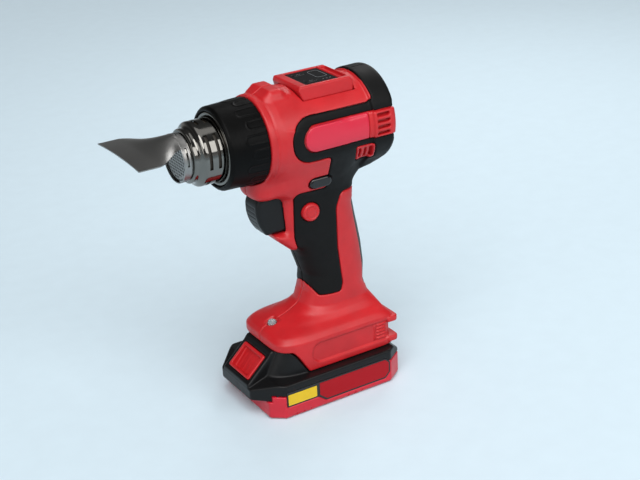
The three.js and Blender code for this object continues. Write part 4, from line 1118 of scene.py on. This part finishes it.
def mirrored_plan(*corners):
    """An outline in plan from the corners on its left side, front to rear."""
    return outline(*corners, *((x, -y, r) for x, y, r in reversed(corners)))


LOWER_PLAN = mirrored_plan((-50.1, -30.2, 2.5), (-41.2, -PACK_HALF, 2.5), *PACK_TAIL)
UPPER_PLAN = mirrored_plan((-58.5, -20, 2.5), (-41, -PACK_HALF, 4), *PACK_TAIL)
TOWER_SIDE = outline(
    (-70, 20, 0), (-70, 41.9, 0), (-29.2, 41.9, 2.5), (-24.7, 37.2, 6), (-17.7, DECK, 0), (-17.7, 20, 0))
NOSE_SIDE = outline(
    (-58.4, 20, 0), (-58.4, 22.6, 1.6), (-41.6, 38.2, 3), (-38.6, 41.9, 2), (-31, 41.9, 0), (-31, 20, 0))
SLOPE_SIDE = outline(
    (-80, 22.4, 0), (-58.5, 22.4, 0), (-41.6, 38.2, 3), (-38.6, 42, 0), (-38.6, 60, 0), (-80, 60, 0))
VALLEY_SIDE = outline(
    (-80, DECK, 0), (-52.6, DECK, 2), (-39.6, 37.6, 3), (-36.8, 42, 0), (-36.8, 60, 0), (-80, 60, 0))
NOSE_BEVEL = outline((-80, 60, 0), (-80, 13.5, 0), (-44, DECK, 3), (-40, 60, 0))
REAR_BEVEL = outline((48.5, DECK, 2), (60, 16.2, 0), (60, 40, 0), (48.5, 40, 0))
LABEL_FLOOR = 36.7  # the label's back, from the middle plane
NOTCHES = Sizes(x=(-33, -27.5, -22, 8, 13.5, 19), lean=0.6, middle=1.6, half=0.55, low=0.9,
                high=2.6)
TONGUE = Sizes(front=-18, rear=38, foot=23.8, step=30, top=34.4, neck=16.8, flange=20.4)
CONTACT_SLOTS = Sizes(off_centre=8, half=1.1, low=28.2, high=33.8, front=27.4)
LATCH_RIDGES = (-7.5, -2.5, 2.5, 7.5)
# The label's frame, its field and the plain block at its front, in side view
LABEL = ((-40, 19.7, 0.8), (-40, 8.8, 0.8), (-15.4, 8.8, 2), (-9.6, 4.3, 2), (39, 4.3, 2), (42.9, 8.4, 2),
         (42.9, 16.4, 2), (39.6, 19.7, 2))
LABEL_FIELD = ((-14.4, 18.7, 0.5), (-14.4, 9.8, 1), (-9, 5.5, 1.5), (38.4, 5.5, 1.5), (41.7, 9, 1.5),
               (41.7, 16, 1.5), (39, 18.7, 1.5))
LABEL_BLOCK = ((-39, 17.8, 0.5), (-39, 9.8, 0.5), (-16.8, 9.8, 0.5), (-16.8, 17.8, 0.5))


def latch_axes(grid):
    """Distances along the latch's slope and out of it."""
    c, s = math.cos(LATCH_SLOPE), math.sin(LATCH_SLOPE)
    dx, dz = grid.x - LATCH_X, grid.z - LATCH_Z
    return dx * c + dz * s, dz * c - dx * s


def cell_room(grid, low, high):
    """The room for the cells between two heights, rounded at the front and rear cells."""
    room = np.maximum(np.maximum(np.abs(grid.x) - 44, np.abs(grid.y) - 33), slab(grid.z, low, high))
    last = CELLS.pitch * (CELLS.count // 2)
    ends = np.maximum(rod(np.abs(grid.x), grid.z, last, CELLS.z, 9.5), np.abs(grid.y) - 32.8)
    return np.minimum(room, ends)


def pack_screw_room(grid):
    """The holes for the pack's four screws and their heads."""
    x, y = PACK_SCREW
    shank = np.maximum(rod(np.abs(grid.x), np.abs(grid.y), x, y, 1.4), grid.z - 22.2)
    head = np.maximum(rod(np.abs(grid.x), np.abs(grid.y), x, y, 2.3), grid.z - 3.2)
    return np.minimum(shank, head)


def label_room(grid):
    """The shallow recess for the label on each side."""
    return np.maximum(side(grid, outline(*LABEL)) - 0.25, LABEL_FLOOR - 0.1 - np.abs(grid.y))


def lower_case():
    """The pack's red tray, with its label recess, low notches, cell room and screw holes."""
    grid = Grid((-51.2, -38.6, -1), (56.4, 38.6, 17.9), 0.55)
    across = np.abs(grid.y)
    body = both(plan(grid, LOWER_PLAN), slab(grid.z, -UNDER_ROOM, 16.7), 0.5)
    body = both(body, -grid.z, 2.6)
    body = without(body, np.maximum(grid.x + 47.7, 12.6 - grid.z), 0.6)
    body = without(body, label_room(grid), 0.3)
    levels = slab(grid.z, NOTCHES.low, NOTCHES.high)
    for x in NOTCHES.x:
        lean = NOTCHES.lean * (grid.z - NOTCHES.middle)
        notch = both(np.abs(grid.x - x - lean) - NOTCHES.half, levels, 0.3)
        body = without(body, np.maximum(notch, 36.2 - across), 0.3)
    body = without(body, np.minimum(cell_room(grid, 2.2, 40), pack_screw_room(grid)))
    tray = moulded("pack_tray", body, grid, 0.6)
    finish(tray, "pack_red", "battery", "battery_lower_case")


def tongue(grid):
    """The rail on top of the pack: a neck, and a wider flange that the foot's slots hold."""
    across = np.abs(grid.y)
    length = slab(grid.x, TONGUE.front, TONGUE.rear)
    neck = both(length, across - TONGUE.neck)
    neck = np.maximum(neck, slab(grid.z, TONGUE.foot, TONGUE.top))
    flange = both(length, across - TONGUE.flange, 0.6)
    return np.minimum(neck, both(flange, slab(grid.z, TONGUE.step, TONGUE.top), 0.5))


def upper_case():
    """The pack's black top: band, stepped nose, tower, latch nose and rail tongue."""
    grid = Grid((-59.6, -38.6, 12), (56.4, 38.6, 43), 0.55)
    across = np.abs(grid.y)
    pack_plan = plan(grid, UPPER_PLAN)
    band = without(both(pack_plan, slab(grid.z, 17, DECK), 1.3), side(grid, REAR_BEVEL), 1)
    band = without(band, side(grid, NOSE_BEVEL), 1)
    nose = np.maximum(np.maximum(pack_plan, grid.x + 48), slab(grid.z, 13, 20))
    body = np.minimum(band, nose)
    front = -37.5 - 0.53 * (42 - grid.z)
    tower = both(side(grid, TOWER_SIDE), oval(grid, front, 53, 30.2, 3.5, 12), 1)
    tower = without(tower, np.maximum(side(grid, VALLEY_SIDE), across - 21), 1.8)
    body = either(body, tower, 1.2)
    body = without(body, np.maximum(side(grid, SLOPE_SIDE), across - 17.6))
    body = either(body, both(side(grid, NOSE_SIDE), across - 17.5, 1.6), 0.6)
    long, out = latch_axes(grid)
    half_long, half = LATCH.half_long + GAP, LATCH.half + GAP
    room = both(both(np.abs(long) - half_long, across - half, 1.8), LATCH.floor - out, 0.5)
    body = np.minimum(without(body, room, 0.6), tongue(grid))
    body = without(body, label_room(grid), 0.3)
    slots = both(np.abs(across - CONTACT_SLOTS.off_centre) - CONTACT_SLOTS.half,
                 np.maximum(slab(grid.z, CONTACT_SLOTS.low, CONTACT_SLOTS.high),
                            CONTACT_SLOTS.front - grid.x))
    hollow = np.minimum(cell_room(grid, 10, 22.8), pack_screw_room(grid))
    body = without(body, np.minimum(hollow, slots))
    finish(moulded("pack_top", body, grid, 0.6), "hard_black", "battery", "battery_upper_case")


def latch_cap():
    """The latch's button: a rim round a scoop that deepens downhill, with four ridges in it."""
    grid = Grid((-60, -14.6, 20), (-37, 14.6, 42), 0.4)
    across = np.abs(grid.y)
    long, out = latch_axes(grid)
    body = both(both(np.abs(long) - LATCH.half_long, across - LATCH.half, 1.6),
                slab(out, LATCH.bottom, LATCH.top), 0.8)
    uphill = 7.4  # end of the scoop
    deepening = 0.1 * (uphill - long)
    scoop = both(both(slab(long, -8, uphill), across - 11.2, 1.4), -1.7 - deepening - out, 0.5)
    body = without(body, scoop, 0.5)
    for y in LATCH_RIDGES:
        ridge = both(both(np.abs(grid.y - y) - 0.45, slab(long, -7.8, 5.2), 0.3),
                     slab(out, -4.2, -1.5 - deepening), 0.3)
        body = either(body, ridge, 0.4)
    finish(moulded("latch_cap", body, grid, 0.6), "casing_red", "latch", "latch_button")


def pack_label(word, mirror):
    """A blank label: black frame, dark red field and a plain yellow block."""
    place = frame_of((0, -LABEL_FLOOR * mirror, 0), (mirror, 0, 0), (0, 0, 1))
    raised = place @ Matrix.Translation((0, 0, 0.5))
    layers = (("frame", LABEL, 0.55, place, "label_black"), ("field", LABEL_FIELD, 0.2, raised, "label_red"),
              ("block", LABEL_BLOCK, 0.24, raised, "label_yellow"))
    pieces = []
    for name, shape, thick, where, look in layers:
        turned_round = [(x * mirror, z, r) for x, z, r in shape]
        piece = plate(name, [outline(*turned_round)], thick, where, 0.06)
        piece.data.materials.append(LOOKS[look])
        pieces.append(piece)
    label = joined(f"pack_label_{word}", *pieces)
    finish(label, None, "battery", f"battery_label_{word}")


def build_pack():
    lower_case()
    upper_case()
    latch_cap()
    pack_label("left", 1)
    pack_label("right", -1)
    for i in range(CELLS.count):
        x = (i - CELLS.count // 2) * CELLS.pitch
        can = lathe(f"cell_body_{i + 1}", CAN, frame_of((x, 0, CELLS.z), (1, 0, 0), (0, 0, 1)), 48)
        finish(can, "cell_can", "battery", f"cell_{i + 1}")


# ---------------------------------------------------------------- carried-over nodes

INTERNALS = {
    "control_board": "board_green", "work_light_board": "board_green", "battery_board": "board_green",
    # the mica sleeve and heater former take the mica colour darkened as painted shade
    "mica_sleeve": "mica", "heater_former": "mica", "heater_base": "ceramic", "thermal_cutout": "ceramic",
    "motor_mount": "hard_black", "switch_body": "hard_black", "fan_motor": "satin_steel",
    "motor_shaft": "polished_steel", "fan_impeller": "nylon_white", "terminal_block": "brass",
}


def paint_internals():
    for node, look in INTERNALS.items():
        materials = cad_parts[node].data.materials
        materials.clear()
        materials.append(LOOKS[look])


# ---------------------------------------------------------------- studio

AZIMUTH, ELEVATION, ROLL = math.radians(-30.5), math.radians(24.3), math.radians(-3.0)
TARGET = Vector((13.67, 0, 103.54)) * MM
DISTANCE = 0.905  # metres


def area_light(name, place, size, power):
    """A round soft light, aimed at the target. Places are in metres."""
    light = bpy.data.lights.new(name, "AREA")
    light.shape = "DISK"
    light.size = size
    light.energy = power
    lamp = linked(name, light)
    lamp.location = place
    lamp.rotation_euler = (TARGET - Vector(place)).to_track_quat("-Z", "Y").to_euler()


def daylight(name, place, spread, strength):
    """A wide soft sun from a direction, which lights the whole floor evenly."""
    light = bpy.data.lights.new(name, "SUN")
    light.angle = math.radians(spread)
    light.energy = strength
    linked(name, light).rotation_euler = (-Vector(place)).to_track_quat("-Z", "Y").to_euler()


def studio_camera():
    back = Vector((math.sin(AZIMUTH) * math.cos(ELEVATION), -math.cos(AZIMUTH) * math.cos(ELEVATION),
                   math.sin(ELEVATION)))
    level_right = Vector((math.cos(AZIMUTH), math.sin(AZIMUTH), 0))
    level_up = back.cross(level_right)
    right = math.cos(ROLL) * level_right + math.sin(ROLL) * level_up
    up = back.cross(right)
    data = bpy.data.cameras.new("camera")
    data.lens = 75
    data.sensor_width = 36
    camera = linked("camera", data)
    turn = Matrix((right, up, back)).transposed().to_4x4()
    camera.matrix_world = Matrix.Translation(TARGET + DISTANCE * back) @ turn
    bpy.context.scene.camera = camera


def studio_floor():
    """A plain sheet of pale paper, just under the object."""
    body = bmesh.new()
    bmesh.ops.create_grid(body, x_segments=8, y_segments=8, size=6)
    mesh = bpy.data.meshes.new("floor")
    body.to_mesh(mesh)
    body.free()
    floor = linked("floor", mesh)
    floor.location.z = -0.0002
    paper = material("floor_paper", (206, 224, 234), 0.85, grain=400, bump=0.03, shade=0.015)
    mesh.materials.append(paper)


def studio_world():
    """A pale horizon with a darker sky, which the polished tube reflects."""
    world = bpy.data.worlds.new("studio")
    world.use_nodes = True
    tree = world.node_tree
    place = tree.nodes.new("ShaderNodeTexCoord")
    split = tree.nodes.new("ShaderNodeSeparateXYZ")
    ramp = tree.nodes.new("ShaderNodeValToRGB")
    stops = ((0.0, 0.9), (0.08, 0.7), (0.2, 0.25), (0.45, 0.1), (0.8, 0.2), (1.0, 0.4))
    for i, (at, value) in enumerate(stops):
        stop = ramp.color_ramp.elements[i] if i < 2 else ramp.color_ramp.elements.new(at)
        stop.position = at
        stop.color = (value * 0.96, value * 0.985, value, 1)
    tree.links.new(place.outputs["Generated"], split.inputs["Vector"])
    tree.links.new(split.outputs["Z"], ramp.inputs["Fac"])
    tree.links.new(ramp.outputs["Color"], tree.nodes["Background"].inputs["Color"])
    tree.nodes["Background"].inputs["Strength"].default_value = 0.55
    bpy.context.scene.world = world


build_casing()
build_display()
build_hot_end()
build_controls()
build_fixings()
build_pack()
paint_internals()
studio_camera()
studio_floor()
studio_world()
for light_name, light_place, light_size, light_power in (
        ("key", (0.35, -0.9, 0.7), 0.7, 4), ("fill", (-0.9, -0.3, 0.5), 0.6, 1.6),
        ("top", (0, 0, 1.2), 0.9, 1.5), ("rim", (0.6, 0.5, 0.7), 0.5, 2)):
    area_light(light_name, light_place, light_size, light_power)  # place and size in metres, power in watts
daylight("day", (-0.35, -0.55, 0.8), 50, 2.5)
bpy.context.scene.view_settings.view_transform = "Standard"
